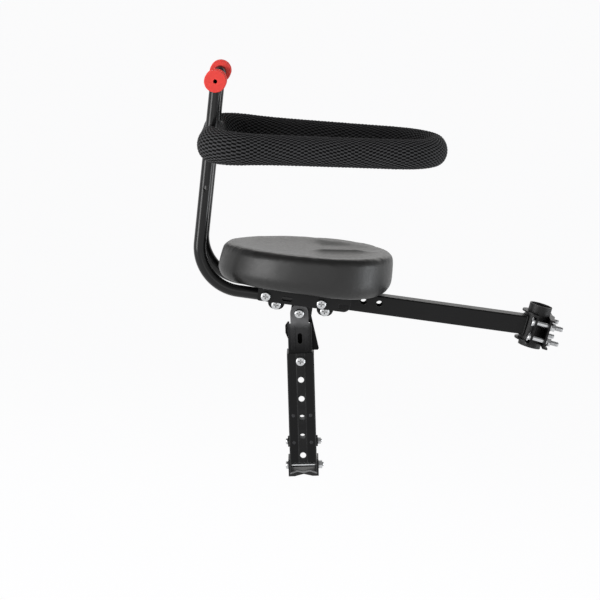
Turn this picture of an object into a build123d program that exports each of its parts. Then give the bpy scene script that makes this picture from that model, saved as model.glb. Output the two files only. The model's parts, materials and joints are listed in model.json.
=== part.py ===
"""Front-mounted child seat for a bicycle: beam, post clamp, seat, handle, guard rail and support leg.

Frame in mm: X runs rearward along the beam, Y to the bike's right, Z up, origin in the post clamp's bore.
"""
import os
from math import cos, radians, sin, tan

from build123d import *

os.makedirs("parts", exist_ok=True)

# Fits
weld_gap = 0.05
slip = 0.2
moving_gap = 0.3
hole_extra = 0.3

# Beam: square tube, level, on the centreline
beam_side = 25.0
beam_wall = 1.6
beam_front_x = -366.0
beam_corner_r = 2.5
beam_hole_r = 4.2
beam_hole_rear_x = -210.5
beam_hole_z = 2.0
beam_hole_pitch = 21.0
plug_insert = 14.0
plug_flange = 2.5

# Post clamp: two half shells on a rubber sleeve, leaning back with the post
post_r = 13.6
post_lean = 7.9
sleeve_wall = 1.65
sleeve_h = 57.5
sleeve_slit = 3.0
shell_t = 2.5
shell_h = 40.0
shell_drop = 2.4
shell_front_face = -3.0
shell_rear_face = 13.0
shell_half_w = 36.0
shell_lip = 4.5
lip_t = 2.0
clamp_bolt_y = 27.0
clamp_bolt_z = 10.3

# Screws: pan heads with a cross recess, hexagon nuts
m6_r = 3.0
m5_r = 2.5
m8_r = 4.0
pan_r = 6.5
pan_h = 4.6
nut_flats = 10.0
nut_h = 5.0
washer_r = 7.0
washer_t = 1.5

# Seat bracket: plate under the seat with a flange on each side
plate_t = 2.5
bracket_front_x = -372.0
bracket_rear_x = -250.0
flange_bottom_z = -7.0
slot_length = 14.0
slot_h = 6.4
slot_x = (-333.0, -258.5)

# Handle: two bent tubes bolted inside the flanges
tube_r = 8.0
tube_wall = 1.5
tube_y = 50.0
tube_rear_x = -274.0
tube_corner_x = -454.0
tube_bend_r = 58.0
tube_top_bend_r = 17.0
handle_lean = 1.75
bar_z = 271.0
bar_half_w = 95.0
handle_bolt_x = (-361.5, -288.0)
spare_hole_z = 129.0
dimple_r = 14.0
dimple_depth = 1.0

# Grips
grip_inner_y = 67.0
grip_r = 11.3
grip_flange_r = 14.3
grip_flange_t = 3.5
grip_cap_t = 4.0
grip_cap_hole_r = 2.7
grip_flutes = 20
flute_r = 1.1

# Guard: a padded ring round the posts
guard_z = 190.0
guard_rise = 4.7
guard_length = 295.0
guard_front_half_w = 130.0
guard_rear_half_w = 71.0
guard_front_r = 38.0
guard_rear_r = 74.0
pad_half_t = 15.3
pad_half_h = 19.0
rail_r = 6.0
rail_wall = 1.5
insert_length = 15.0

# Seat
seat_widest_x = -295.0
seat_front_x = -430.0
seat_rear_x = -198.0
seat_half_w = 99.0
seat_low_z = 14.9
seat_height = 49.9
seat_tilt = 2.6
seat_top_tilt = 3.7
seat_front_rake = 6.0
seat_rear_rake = 4.0
seat_side_rake = 2.0
seat_top_r = 9.0
seat_bottom_r = 10.0
dish_depth = 6.0
dish_half_w = 78.0
dish_stretch = 1.25
base_t = 8.0
base_inset = 16.0
seat_screw_x = (-350.0, -272.0)
seat_screw_y = 28.0

# Beam clips and leg hanger
clip_t = 2.5
clip_w = 22.0
clip_x = (-346.0, -281.0)
clip_bolt_z = -17.4
clip_bottom_z = -23.6
pivot_x = -314.0
pivot_z = -24.5
hanger_t = 2.3
hanger_front = 11.0
hanger_rear = 16.5
hanger_drop = 9.0

# Leg, measured down from the pivot
leg_lean = 9.5
leg_sheet = 2.0
lug_half_w = 12.0
shoulder_drop = 13.7
upper_half_w = 15.8
upper_drop = 76.0
upper_depth = 30.0
upper_side_slope = 6.0
lower_top_drop = 54.0
lower_depth = 36.0
rib_half_w = 5.5
rib_h = 0.8
leg_hole_drop = 64.0
leg_hole_pitch = 25.8
leg_hole_count = 6
leg_hole_r = 4.0
leg_hole_edge = 10.5
slot_drop = 34.0
closing_top_drop = 20.0
closing_bottom_drop = 52.0
backing_top_drop = 134.0
backing_bottom_drop = 189.0
backing_shift = 4.0
cross_drop = 177.5
cross_y = -2.0
foot_y = -5.0
foot_half_depth = 16.0
foot_notch = 3.0

# What follows from these
beam_half = beam_side / 2
sleeve_r = post_r + sleeve_wall
shell_in_r = sleeve_r + weld_gap
shell_out_r = shell_in_r + shell_t
plate_bottom_z = beam_half + clip_t
plate_top_z = plate_bottom_z + plate_t
flange_in_y = tube_y + tube_r + weld_gap
flange_out_y = flange_in_y + plate_t
bar_x = tube_corner_x - bar_z * tan(radians(handle_lean))
guard_x = tube_corner_x - guard_z * tan(radians(handle_lean))
lug_in_y = beam_half + hanger_t + slip + moving_gap
lug_out_y = lug_in_y + leg_sheet
lower_in_y = lug_out_y + slip
lower_out_y = lower_in_y + leg_sheet
lower_half_w = upper_half_w + slip + leg_sheet
lower_web_drop = leg_hole_drop + (leg_hole_count - 1) * leg_hole_pitch + leg_hole_edge
lower_drop = lower_web_drop + 12.5
foot_top_drop = lower_web_drop - 4.0
foot_drop = lower_web_drop + 6.0
foot_bottom_drop = lower_web_drop + 19.5
cheek_in = lower_half_w + slip
cheek_out = cheek_in + leg_sheet

lean = radians(post_lean)
clamp_plane = Plane((0, 0, 0), x_dir=(cos(lean), 0, -sin(lean)), z_dir=(sin(lean), 0, cos(lean)))
rise = radians(guard_rise)
guard_plane = Plane((guard_x, 0, guard_z), x_dir=(cos(rise), 0, sin(rise)), z_dir=(-sin(rise), 0, cos(rise)))
seat_slope = radians(seat_tilt)
seat_x = (cos(seat_slope), 0, sin(seat_slope))
seat_plane = Plane((seat_widest_x, 0, seat_low_z), x_dir=seat_x, z_dir=(-sin(seat_slope), 0, cos(seat_slope)))
top_slope = radians(seat_top_tilt)
seat_top_plane = Plane(
    (seat_widest_x, 0, seat_low_z + seat_height),
    x_dir=(cos(top_slope), 0, sin(top_slope)),
    z_dir=(-sin(top_slope), 0, cos(top_slope)),
)
tilt = radians(leg_lean)
leg_x = (cos(tilt), 0, sin(tilt))
leg_plane = Plane((pivot_x, 0, pivot_z), x_dir=leg_x, z_dir=(-sin(tilt), 0, cos(tilt)))
leg_face = Plane((pivot_x, 0, pivot_z), x_dir=leg_x, z_dir=(0, -1, 0))


def save(built, name):
    built.part.label = name
    export_step(built.part, f"parts/{name}.step")


def pan_bolt(length, shank_r=m6_r, head_r=pan_r, head_h=pan_h):
    """A pan-head screw: its shank runs up from z = 0, its head hangs below."""
    with BuildPart() as bolt:
        with BuildSketch():
            Circle(head_r)
        extrude(amount=-head_h)
        fillet(bolt.edges().group_by(Axis.Z)[0], head_h * 0.55)
        with BuildSketch(Plane.XY.offset(-head_h)):
            Rectangle(head_r * 1.0, head_r * 0.22)
            Rectangle(head_r * 0.22, head_r * 1.0)
        extrude(amount=head_h * 0.5, mode=Mode.SUBTRACT)
        with BuildSketch():
            Circle(shank_r)
        extrude(amount=length)
        chamfer(bolt.edges().group_by(Axis.Z)[-1], shank_r * 0.2)
    return bolt.part


def hex_nut(shank_r=m6_r, flats=nut_flats, height=nut_h):
    """A hexagon nut that stands on z = 0."""
    with BuildPart() as nut:
        with BuildSketch():
            RegularPolygon(flats / 2, 6, major_radius=False)
            Circle(shank_r + weld_gap, mode=Mode.SUBTRACT)
        extrude(amount=height)
    return nut.part


def washer(shank_r=m6_r, outer_r=washer_r, thickness=washer_t):
    with BuildPart() as ring:
        with BuildSketch():
            Circle(outer_r)
            Circle(shank_r + hole_extra, mode=Mode.SUBTRACT)
        extrude(amount=thickness)
    return ring.part


def group(piece, spots):
    """Copies of one small part, standing on the given planes."""
    with BuildPart() as built:
        for spot in spots:
            with Locations(spot):
                add(piece)
    return built


def clamp_at(x, y, z):
    """A plane across the clamp bolts' direction, at a point of the clamp's own frame."""
    return Plane(clamp_plane.from_local_coords((x, y, z)), x_dir=(0, 1, 0), z_dir=clamp_plane.x_dir)


def across(x, y, z, toward):
    """A plane whose normal runs along +Y (toward = 1) or -Y (toward = -1)."""
    return Plane((x, y, z), x_dir=(1, 0, 0), z_dir=(0, toward, 0))


def leg_at(x, y, drop, along):
    """A plane in the leg's frame whose normal runs rearward (along = 1) or forward (along = -1)."""
    spot = leg_plane.from_local_coords((x, y, -drop))
    return Plane(spot, x_dir=(0, 1, 0), z_dir=leg_plane.x_dir * along)


# Beam and plug
with BuildPart() as beam:
    with BuildSketch(Plane((beam_front_x, 0, 0), x_dir=(0, 1, 0), z_dir=(1, 0, 0))):
        RectangleRounded(beam_side, beam_side, beam_corner_r)
        RectangleRounded(
            beam_side - 2 * beam_wall, beam_side - 2 * beam_wall, beam_corner_r - beam_wall, mode=Mode.SUBTRACT
        )
    extrude(amount=-beam_front_x - beam_half)
    with BuildSketch(clamp_plane):
        Circle(shell_out_r + weld_gap)
    extrude(amount=shell_h, both=True, mode=Mode.SUBTRACT)
    with BuildSketch(Plane.XZ):
        with Locations(*[(beam_hole_rear_x - i * beam_hole_pitch, beam_hole_z) for i in range(2)]):
            Circle(beam_hole_r)
    extrude(amount=beam_side, both=True, mode=Mode.SUBTRACT)
save(beam, "beam")

plug_side = beam_side - 2 * beam_wall - slip
with BuildPart() as beam_plug:
    with BuildSketch(Plane((beam_front_x, 0, 0), x_dir=(0, 1, 0), z_dir=(-1, 0, 0))):
        RectangleRounded(beam_side, beam_side, beam_corner_r)
    extrude(amount=plug_flange)
    fillet(beam_plug.edges().group_by(Axis.X)[0], plug_flange * 0.6)
    with BuildSketch(Plane((beam_front_x, 0, 0), x_dir=(0, 1, 0), z_dir=(1, 0, 0))):
        RectangleRounded(plug_side, plug_side, beam_corner_r - beam_wall)
        Rectangle(plug_side - 2 * beam_wall, plug_side - 2 * beam_wall, mode=Mode.SUBTRACT)
    extrude(amount=plug_insert)
save(beam_plug, "beam_plug")


clamp_rows = (-clamp_bolt_z - shell_drop, clamp_bolt_z - shell_drop)
clamp_spots = [(y, z) for y in (-clamp_bolt_y, clamp_bolt_y) for z in clamp_rows]


def shell(face_x, side):
    """A half shell: an arc on the sleeve with a flange each way, lipped at its top and bottom edges.

    side is -1 for the half in front of the post and 1 for the half behind it.
    """
    flange_x = face_x + side * shell_t / 2
    lip_x = face_x + side * (shell_t + shell_lip) / 2
    with BuildPart() as half:
        with BuildSketch(clamp_plane.offset(-shell_h / 2 - shell_drop)):
            Circle(shell_out_r)
            with Locations((flange_x, 0)):
                Rectangle(shell_t, 2 * shell_half_w)
            Circle(shell_in_r, mode=Mode.SUBTRACT)
            with Locations((face_x - side * shell_half_w, 0)):
                Rectangle(2 * shell_half_w, 4 * shell_half_w, mode=Mode.SUBTRACT)
        extrude(amount=shell_h)
        for level in (-shell_h / 2, shell_h / 2 - lip_t):
            with BuildSketch(clamp_plane.offset(level - shell_drop)):
                Circle(shell_out_r + shell_lip)
                with Locations((lip_x, 0)):
                    RectangleRounded(shell_t + shell_lip, 2 * shell_half_w, 2.0)
                Circle(shell_in_r, mode=Mode.SUBTRACT)
                with Locations((face_x - side * shell_half_w, 0)):
                    Rectangle(2 * shell_half_w, 4 * shell_half_w, mode=Mode.SUBTRACT)
            extrude(amount=lip_t)
        with BuildSketch(clamp_at(0, 0, 0)):
            with Locations(*clamp_spots):
                Circle(m6_r + hole_extra)
        extrude(amount=2 * shell_half_w, both=True, mode=Mode.SUBTRACT)
    return half


clamp_front = shell(shell_front_face, -1)
save(clamp_front, "clamp_front")
clamp_rear = shell(shell_rear_face, 1)
save(clamp_rear, "clamp_rear")

with BuildPart() as clamp_sleeve:
    with BuildSketch(clamp_plane.offset(-sleeve_h / 2)):
        Circle(sleeve_r)
        Circle(post_r, mode=Mode.SUBTRACT)
        with Locations((sleeve_r, 0)):
            Rectangle(sleeve_r, sleeve_slit, mode=Mode.SUBTRACT)
    extrude(amount=sleeve_h)
save(clamp_sleeve, "clamp_sleeve")

head_x = shell_front_face - shell_t
nut_x = shell_rear_face + shell_t
clamp_bolts = group(pan_bolt(nut_x + washer_t + nut_h + 11 - head_x), [clamp_at(head_x, y, z) for y, z in clamp_spots])
save(clamp_bolts, "clamp_bolts")
clamp_washers = group(washer(outer_r=m6_r * 2.1), [clamp_at(nut_x, y, z) for y, z in clamp_spots])
save(clamp_washers, "clamp_washers")
clamp_nuts = group(hex_nut(), [clamp_at(nut_x + washer_t, y, z) for y, z in clamp_spots])
save(clamp_nuts, "clamp_nuts")

# Seat bracket, beam clips and their bolts
bracket_length = bracket_rear_x - bracket_front_x
with BuildPart() as seat_bracket:
    with BuildSketch(Plane((bracket_front_x, 0, 0), x_dir=(0, 1, 0), z_dir=(1, 0, 0))):
        with Locations((0, (plate_top_z + flange_bottom_z) / 2)):
            Rectangle(2 * flange_out_y, plate_top_z - flange_bottom_z)
        with Locations((0, (plate_bottom_z + flange_bottom_z) / 2 - plate_t)):
            Rectangle(2 * flange_in_y, plate_bottom_z - flange_bottom_z + 2 * plate_t, mode=Mode.SUBTRACT)
    extrude(amount=bracket_length)
    fillet(seat_bracket.edges().filter_by(Axis.X).group_by(Axis.Z)[-1], plate_t * 1.2)
    rear_low = seat_bracket.edges().filter_by(Axis.Y).group_by(Axis.Z)[0].group_by(Axis.X)
    fillet(rear_low[-1], 9.0)
    fillet(rear_low[0], 3.0)
    with BuildSketch(Plane.XZ):
        with Locations(*[(x, 0) for x in handle_bolt_x]):
            Circle(m6_r + hole_extra)
        with Locations(*[(x, 0) for x in slot_x]):
            SlotOverall(slot_length, slot_h)
    extrude(amount=2 * flange_out_y, both=True, mode=Mode.SUBTRACT)
    with BuildSketch(Plane.XY.offset(plate_bottom_z)):
        with Locations(*[(x, y) for x in seat_screw_x for y in (-seat_screw_y, seat_screw_y)]):
            Circle(m6_r + hole_extra)
    extrude(amount=plate_t, mode=Mode.SUBTRACT)
save(seat_bracket, "seat_bracket")

clip_in_y = beam_half + slip
clip_out_y = clip_in_y + clip_t


def beam_clip(x):
    with BuildPart() as clip:
        with BuildSketch(Plane((x - clip_w / 2, 0, 0), x_dir=(0, 1, 0), z_dir=(1, 0, 0))):
            with Locations((0, (plate_bottom_z + clip_bottom_z) / 2)):
                Rectangle(2 * clip_out_y, plate_bottom_z - clip_bottom_z)
            with Locations((0, (beam_half + clip_bottom_z) / 2 - clip_t)):
                Rectangle(2 * clip_in_y, beam_half - clip_bottom_z + 2 * clip_t, mode=Mode.SUBTRACT)
        extrude(amount=clip_w)
        fillet(clip.edges().filter_by(Axis.Y).group_by(Axis.Z)[0], clip_w * 0.4)
        with BuildSketch(Plane.XZ):
            with Locations((x, clip_bolt_z)):
                Circle(m6_r + hole_extra)
        extrude(amount=2 * clip_out_y, both=True, mode=Mode.SUBTRACT)
    return clip


front_beam_clip = beam_clip(clip_x[0])
save(front_beam_clip, "front_beam_clip")
rear_beam_clip = beam_clip(clip_x[1])
save(rear_beam_clip, "rear_beam_clip")
clip_bolts = group(pan_bolt(2 * clip_out_y + nut_h + 3), [across(x, -clip_out_y, clip_bolt_z, 1) for x in clip_x])
save(clip_bolts, "clip_bolts")
clip_nuts = group(hex_nut(), [across(x, clip_out_y, clip_bolt_z, 1) for x in clip_x])
save(clip_nuts, "clip_nuts")

# Handle
post_dir = Vector(bar_x - tube_corner_x, 0, bar_z).normalized()
bar_end_y = bar_half_w - grip_cap_t / 2


spare_hole_x = tube_corner_x - spare_hole_z * tan(radians(handle_lean))
dimple_y = tube_y + tube_r + dimple_r - dimple_depth


def handle_tube(side):
    with BuildPart() as tube:
        with BuildLine() as route:
            FilletPolyline(
                (tube_rear_x, side * tube_y, 0),
                (tube_corner_x, side * tube_y, 0),
                (bar_x, side * tube_y, bar_z),
                (bar_x, side * bar_end_y, bar_z),
                radius=(tube_bend_r, tube_top_bend_r),
            )
        with BuildSketch(Plane(route.line @ 0, z_dir=route.line % 0)):
            Circle(tube_r)
            Circle(tube_r - tube_wall, mode=Mode.SUBTRACT)
        sweep(path=route.line)
        with BuildSketch(Plane((0, side * tube_y, 0), x_dir=(1, 0, 0), z_dir=(0, -1, 0))):
            with Locations(*[(x, 0) for x in handle_bolt_x]):
                Circle(m6_r + hole_extra)
            with Locations((guard_x, guard_z)):
                Circle(m6_r + hole_extra)
            with Locations((spare_hole_x, spare_hole_z)):
                Circle(m6_r + hole_extra)
        extrude(amount=2 * tube_r, both=True, mode=Mode.SUBTRACT)
        with Locations((spare_hole_x, side * dimple_y, spare_hole_z)):
            Sphere(dimple_r, mode=Mode.SUBTRACT)
    return tube


handle_tube_left = handle_tube(-1)
save(handle_tube_left, "handle_tube_left")
handle_tube_right = handle_tube(1)
save(handle_tube_right, "handle_tube_right")
both_sides = (-1, 1)
handle_bolts = group(
    pan_bolt(plate_t + 2 * tube_r + nut_h + 3),
    [across(x, s * flange_out_y, 0, -s) for x in handle_bolt_x for s in both_sides],
)
save(handle_bolts, "handle_bolts")
handle_nuts = group(hex_nut(), [across(x, s * (tube_y - tube_r), 0, -s) for x in handle_bolt_x for s in both_sides])
save(handle_nuts, "handle_nuts")


def grip(side):
    """A rubber grip turned about the bar: inner flange, fluted body, end cap with a small hole."""
    outline = [
        (tube_r + weld_gap, grip_inner_y),
        (grip_flange_r, grip_inner_y),
        (grip_flange_r, grip_inner_y + grip_flange_t),
        (grip_r, grip_inner_y + grip_flange_t),
        (grip_r, bar_half_w - grip_cap_t),
        (grip_flange_r, bar_half_w - grip_cap_t),
        (grip_flange_r, bar_half_w),
        (grip_cap_hole_r, bar_half_w),
        (grip_cap_hole_r, bar_end_y + weld_gap),
        (tube_r + weld_gap, bar_end_y + weld_gap),
    ]
    body_length = bar_half_w - grip_inner_y - grip_flange_t - grip_cap_t
    body_mid = grip_inner_y + grip_flange_t + body_length / 2
    with BuildPart() as rubber:
        with BuildSketch(Plane((bar_x, 0, bar_z), x_dir=(1, 0, 0), z_dir=(0, 0, 1))):
            with BuildLine():
                Polyline(*[(r, side * y) for r, y in outline], close=True)
            make_face()
        revolve(axis=Axis((bar_x, 0, bar_z), (0, 1, 0)))
        fillet(rubber.edges().filter_by(GeomType.CIRCLE).filter_by(lambda e: e.radius > grip_r + 1), 1.2)
        with BuildSketch(Plane((bar_x, side * body_mid, bar_z), x_dir=(1, 0, 0), z_dir=(0, 1, 0))):
            with PolarLocations(grip_r + flute_r * 0.3, grip_flutes):
                Circle(flute_r)
        extrude(amount=body_length / 2, both=True, mode=Mode.SUBTRACT)
    return rubber


grip_left = grip(-1)
save(grip_left, "grip_left")
grip_right = grip(1)
save(grip_right, "grip_right")

# Guard: the rail ends at the posts, the pad closes round them
post_side_y = tube_y + tube_r + weld_gap
ring_radii = (guard_front_r, guard_rear_r)


def ring_route(start_y):
    FilletPolyline(
        (0, -start_y), (0, -guard_front_half_w), (guard_length, -guard_rear_half_w), (guard_length, 0), radius=ring_radii
    )


with BuildPart() as guard_rail:
    with BuildLine(guard_plane) as rail_line:
        ring_route(post_side_y)
    with BuildSketch(Plane(rail_line.line @ 0, z_dir=rail_line.line % 0)):
        Circle(rail_r)
        Circle(rail_r - rail_wall, mode=Mode.SUBTRACT)
    sweep(path=rail_line.line)
    mirror(about=Plane.XZ)
save(guard_rail, "guard_rail")

with BuildPart() as guard_pad:
    with BuildLine(guard_plane) as pad_line:
        ring_route(0)
    with BuildSketch(Plane(pad_line.line @ 0, x_dir=guard_plane.x_dir, z_dir=(0, -1, 0))):
        Ellipse(pad_half_t, pad_half_h)
    sweep(path=pad_line.line)
    with BuildLine(guard_plane) as tunnel_line:
        ring_route(post_side_y - hole_extra)
    with BuildSketch(Plane(tunnel_line.line @ 0, z_dir=tunnel_line.line % 0)):
        Circle(rail_r + weld_gap)
    sweep(path=tunnel_line.line, mode=Mode.SUBTRACT)
    with BuildSketch(Plane((tube_corner_x, -tube_y, 0), x_dir=(0, 1, 0), z_dir=post_dir)):
        Circle(tube_r + hole_extra)
    extrude(amount=bar_z, mode=Mode.SUBTRACT)
    with BuildSketch(across(guard_x, -tube_y, guard_z, 1)):
        Circle(pan_r + hole_extra)
    extrude(amount=tube_r + pan_h + slip, mode=Mode.SUBTRACT)
    mirror(about=Plane.XZ)
save(guard_pad, "guard_pad")

guard_bolts = group(
    pan_bolt(2 * tube_r + insert_length - 1),
    [across(guard_x, s * (tube_y - tube_r), guard_z, s) for s in both_sides],
)
save(guard_bolts, "guard_bolts")
with BuildPart() as insert:
    with BuildSketch():
        Circle(rail_r - rail_wall - weld_gap)
        Circle(m6_r + weld_gap, mode=Mode.SUBTRACT)
    extrude(amount=insert_length)
guard_inserts = group(insert.part, [across(guard_x, s * (post_side_y + weld_gap), guard_z, s) for s in both_sides])
save(guard_inserts, "guard_inserts")


# Seat: a board in the underside of the cushion, screwed to the bracket
def seat_outline(inset, front_rake=0, rear_rake=0, side_rake=0):
    """The egg-shaped plan: a long half ellipse in front of the widest point, a short one behind it."""
    half_w = seat_half_w - side_rake - inset
    with BuildLine() as plan:
        for length, start in (
            (seat_widest_x - seat_front_x - front_rake, 90), (seat_rear_x - seat_widest_x - rear_rake, 270)
        ):
            EllipticalCenterArc((0, 0), length - inset, half_w, start_angle=start, arc_size=180)
    return plan.edges()


dish_r = (dish_half_w**2 + dish_depth**2) / (2 * dish_depth)
with BuildPart() as dish:
    Sphere(dish_r)
    scale(by=(dish_stretch, 1, 1))

seat_up = Axis((0, 0, 0), seat_plane.z_dir)
seat_top_up = Axis((0, 0, 0), seat_top_plane.z_dir)
dish_middle = seat_top_plane.from_local_coords(
    ((seat_front_x + seat_rear_x) / 2 - seat_widest_x, 0, dish_r - dish_depth)
)
with BuildPart() as seat_cushion:
    with BuildSketch(seat_plane):
        make_face(seat_outline(0))
    with BuildSketch(seat_top_plane):
        make_face(seat_outline(0, seat_front_rake, seat_rear_rake, seat_side_rake))
    loft()
    fillet(seat_cushion.edges().group_by(seat_top_up)[-1], seat_top_r)
    fillet(seat_cushion.edges().group_by(seat_up)[0], seat_bottom_r)
    with Locations(Plane(dish_middle, x_dir=seat_top_plane.x_dir, z_dir=seat_top_plane.z_dir)):
        add(dish.part, mode=Mode.SUBTRACT)
    with BuildSketch(Plane((seat_widest_x, 0, 0))):
        make_face(seat_outline(base_inset - slip))
    extrude(amount=plate_top_z + base_t, mode=Mode.SUBTRACT)
    with BuildSketch(Plane(((bracket_front_x + bracket_rear_x) / 2, 0, 0))):
        Rectangle(bracket_length + 2 * hole_extra, 2 * (flange_out_y + hole_extra))
    extrude(amount=plate_top_z, mode=Mode.SUBTRACT)
save(seat_cushion, "seat_cushion")

seat_screw_spots = [(x, y) for x in seat_screw_x for y in (-seat_screw_y, seat_screw_y)]
with BuildPart() as seat_base:
    with BuildSketch(Plane((seat_widest_x, 0, plate_top_z))):
        make_face(seat_outline(base_inset))
        with Locations(*[(x - seat_widest_x, y) for x, y in seat_screw_spots]):
            Circle(m6_r + weld_gap, mode=Mode.SUBTRACT)
    extrude(amount=base_t)
save(seat_base, "seat_base")
seat_screws = group(
    pan_bolt(plate_t + base_t - 0.5), [Plane((x, y, plate_bottom_z)) for x, y in seat_screw_spots]
)
save(seat_screws, "seat_screws")

# Leg hanger and pivot
hanger_in_y = beam_half + slip
hanger_out_y = hanger_in_y + hanger_t
with BuildPart() as leg_hanger:
    with BuildSketch(Plane((pivot_x - hanger_front, 0, 0), x_dir=(0, 1, 0), z_dir=(1, 0, 0))):
        with Locations((0, (-beam_half + pivot_z - hanger_drop) / 2)):
            Rectangle(2 * hanger_out_y, -beam_half - pivot_z + hanger_drop)
        with Locations((0, (-beam_half + pivot_z - hanger_drop) / 2 - hanger_t)):
            Rectangle(2 * hanger_in_y, -beam_half - pivot_z + hanger_drop, mode=Mode.SUBTRACT)
    extrude(amount=hanger_front + hanger_rear)
    fillet(leg_hanger.edges().filter_by(Axis.Y).group_by(Axis.Z)[0], hanger_drop * 0.8)
    with BuildSketch(Plane.XZ):
        with Locations((pivot_x, pivot_z)):
            Circle(m8_r + hole_extra)
    extrude(amount=2 * hanger_out_y, both=True, mode=Mode.SUBTRACT)
save(leg_hanger, "leg_hanger")

pivot_head_y = lug_out_y + moving_gap
pivot_bolt = pan_bolt(pivot_head_y + hanger_out_y + nut_h + 4, shank_r=m8_r)
leg_pivot_bolt = group(pivot_bolt, [across(pivot_x, -pivot_head_y, pivot_z, 1)])
save(leg_pivot_bolt, "leg_pivot_bolt")
leg_pivot_nut = group(hex_nut(m8_r, 13.0, 6.0), [across(pivot_x, hanger_out_y, pivot_z, 1)])
save(leg_pivot_nut, "leg_pivot_nut")

def outer_corners(built, face_y, half_w):
    """The two long outer edges of a channel, where its web meets its sides."""
    near = built.edges().filter_by(lambda e: abs(e.center().Y + face_y) < 0.01)
    return near.filter_by(lambda e: abs(abs(leg_plane.to_local_coords(e.center()).X) - half_w) < 0.01)


# Leg: an upper channel with a lug, a lower channel over it
wing_top = 1.0
wing_drop = lower_top_drop - 1.0
wing_w = 9.0
with BuildPart() as leg_upper:
    with BuildSketch(leg_face.offset(lug_in_y)):
        Circle(lug_half_w)
        with Locations((0, -shoulder_drop / 2 - 1)):
            Rectangle(2 * lug_half_w, shoulder_drop + 2)
        with Locations((0, -(shoulder_drop + upper_drop) / 2)):
            Rectangle(2 * upper_half_w, upper_drop - shoulder_drop)
    extrude(amount=leg_sheet)
    with BuildSketch(leg_face.offset(lug_in_y)):
        for s in both_sides:
            with Locations((s * (upper_half_w - leg_sheet / 2), -(shoulder_drop + upper_drop) / 2)):
                Rectangle(leg_sheet, upper_drop - shoulder_drop)
    extrude(amount=-upper_depth)
    with BuildSketch(leg_at(0, 0, 0, 1)):
        with BuildLine():
            Polyline(
                (-lug_in_y, -shoulder_drop),
                (upper_depth - lug_in_y, -shoulder_drop),
                (upper_depth - lug_in_y, -shoulder_drop - upper_side_slope),
                close=True,
            )
        make_face()
    extrude(amount=2 * upper_half_w, both=True, mode=Mode.SUBTRACT)
    with BuildSketch(leg_face.offset(lug_in_y - upper_depth)):
        with Locations((0, -(closing_top_drop + closing_bottom_drop) / 2)):
            Rectangle(2 * upper_half_w, closing_bottom_drop - closing_top_drop)
    extrude(amount=leg_sheet)
    with BuildSketch(leg_face):
        with BuildLine():
            Polyline(
                (lug_half_w - 1, -wing_top),
                (upper_half_w - leg_sheet / 2, -wing_top),
                (upper_half_w + wing_w, -wing_drop + 2),
                (upper_half_w + wing_w - 1.5, -wing_drop),
                (upper_half_w - leg_sheet, -wing_drop),
                (upper_half_w - leg_sheet, -shoulder_drop - leg_sheet),
                (lug_half_w - 1, -shoulder_drop - leg_sheet),
                close=True,
            )
        make_face()
        with BuildLine():
            Polyline(
                (-upper_half_w + leg_sheet, -shoulder_drop),
                (-upper_half_w, -shoulder_drop),
                (-upper_half_w - 3.5, -shoulder_drop - 5),
                (-upper_half_w - 3.5, -shoulder_drop - 15),
                (-upper_half_w + leg_sheet, -shoulder_drop - 29),
                close=True,
            )
        make_face()
    extrude(amount=leg_sheet)
    with BuildSketch(leg_face.offset(lug_out_y)):
        for s in both_sides:
            with Locations((s * 9.0, -(shoulder_drop + lower_top_drop) / 2)):
                SlotOverall(lower_top_drop - shoulder_drop - 6, 4.4, rotation=90)
    extrude(amount=rib_h)
    with BuildSketch(leg_face.offset(lug_in_y)):
        Circle(m8_r + moving_gap)
        with Locations((0, -leg_hole_drop)):
            Circle(m6_r + hole_extra)
        with Locations((0, -slot_drop)):
            SlotOverall(14.5, 6.0, rotation=90)
    extrude(amount=leg_sheet + 1, mode=Mode.SUBTRACT)
    fillet(outer_corners(leg_upper, lug_out_y, upper_half_w), leg_sheet * 0.75)
save(leg_upper, "leg_upper")

leg_holes = [(0, -leg_hole_drop - i * leg_hole_pitch) for i in range(leg_hole_count)]
with BuildPart() as leg_lower:
    with BuildSketch(leg_face.offset(lower_in_y)):
        with Locations((0, -(lower_top_drop + lower_web_drop) / 2)):
            Rectangle(2 * lower_half_w, lower_web_drop - lower_top_drop)
    extrude(amount=leg_sheet)
    with BuildSketch(leg_face.offset(lower_out_y)):
        for s in both_sides:
            with Locations((s * (lower_half_w - leg_sheet / 2), -(lower_top_drop + lower_drop) / 2)):
                Rectangle(leg_sheet, lower_drop - lower_top_drop)
    extrude(amount=-lower_depth)
    fillet(outer_corners(leg_lower, lower_out_y, lower_half_w), leg_sheet * 0.75)
    with BuildSketch(leg_face.offset(lower_out_y)):
        with Locations((0, -(lower_top_drop + lower_web_drop) / 2)):
            SlotOverall(lower_web_drop - lower_top_drop - 4, 2 * rib_half_w, rotation=90)
    extrude(amount=rib_h)
    with BuildSketch(leg_face.offset(lower_in_y)):
        with Locations(*leg_holes):
            Circle(leg_hole_r)
    extrude(amount=leg_sheet + rib_h, mode=Mode.SUBTRACT)
    with BuildSketch(leg_at(0, 0, 0, 1)):
        with Locations((cross_y, -cross_drop)):
            Circle(m5_r + hole_extra)
        with Locations((foot_y, -foot_drop)):
            Circle(m6_r + hole_extra)
    extrude(amount=2 * lower_half_w, both=True, mode=Mode.SUBTRACT)
save(leg_lower, "leg_lower")

height_head_y = lower_out_y + rib_h
height_spot = leg_plane.from_local_coords((0, -height_head_y, -leg_hole_drop))
leg_height_bolt = group(pan_bolt(height_head_y - lug_in_y + nut_h + 3), [across(*height_spot, 1)])
save(leg_height_bolt, "leg_height_bolt")
height_nut_spot = leg_plane.from_local_coords((0, -lug_in_y, -leg_hole_drop))
leg_height_nut = group(hex_nut(), [across(*height_nut_spot, 1)])
save(leg_height_nut, "leg_height_nut")

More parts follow.
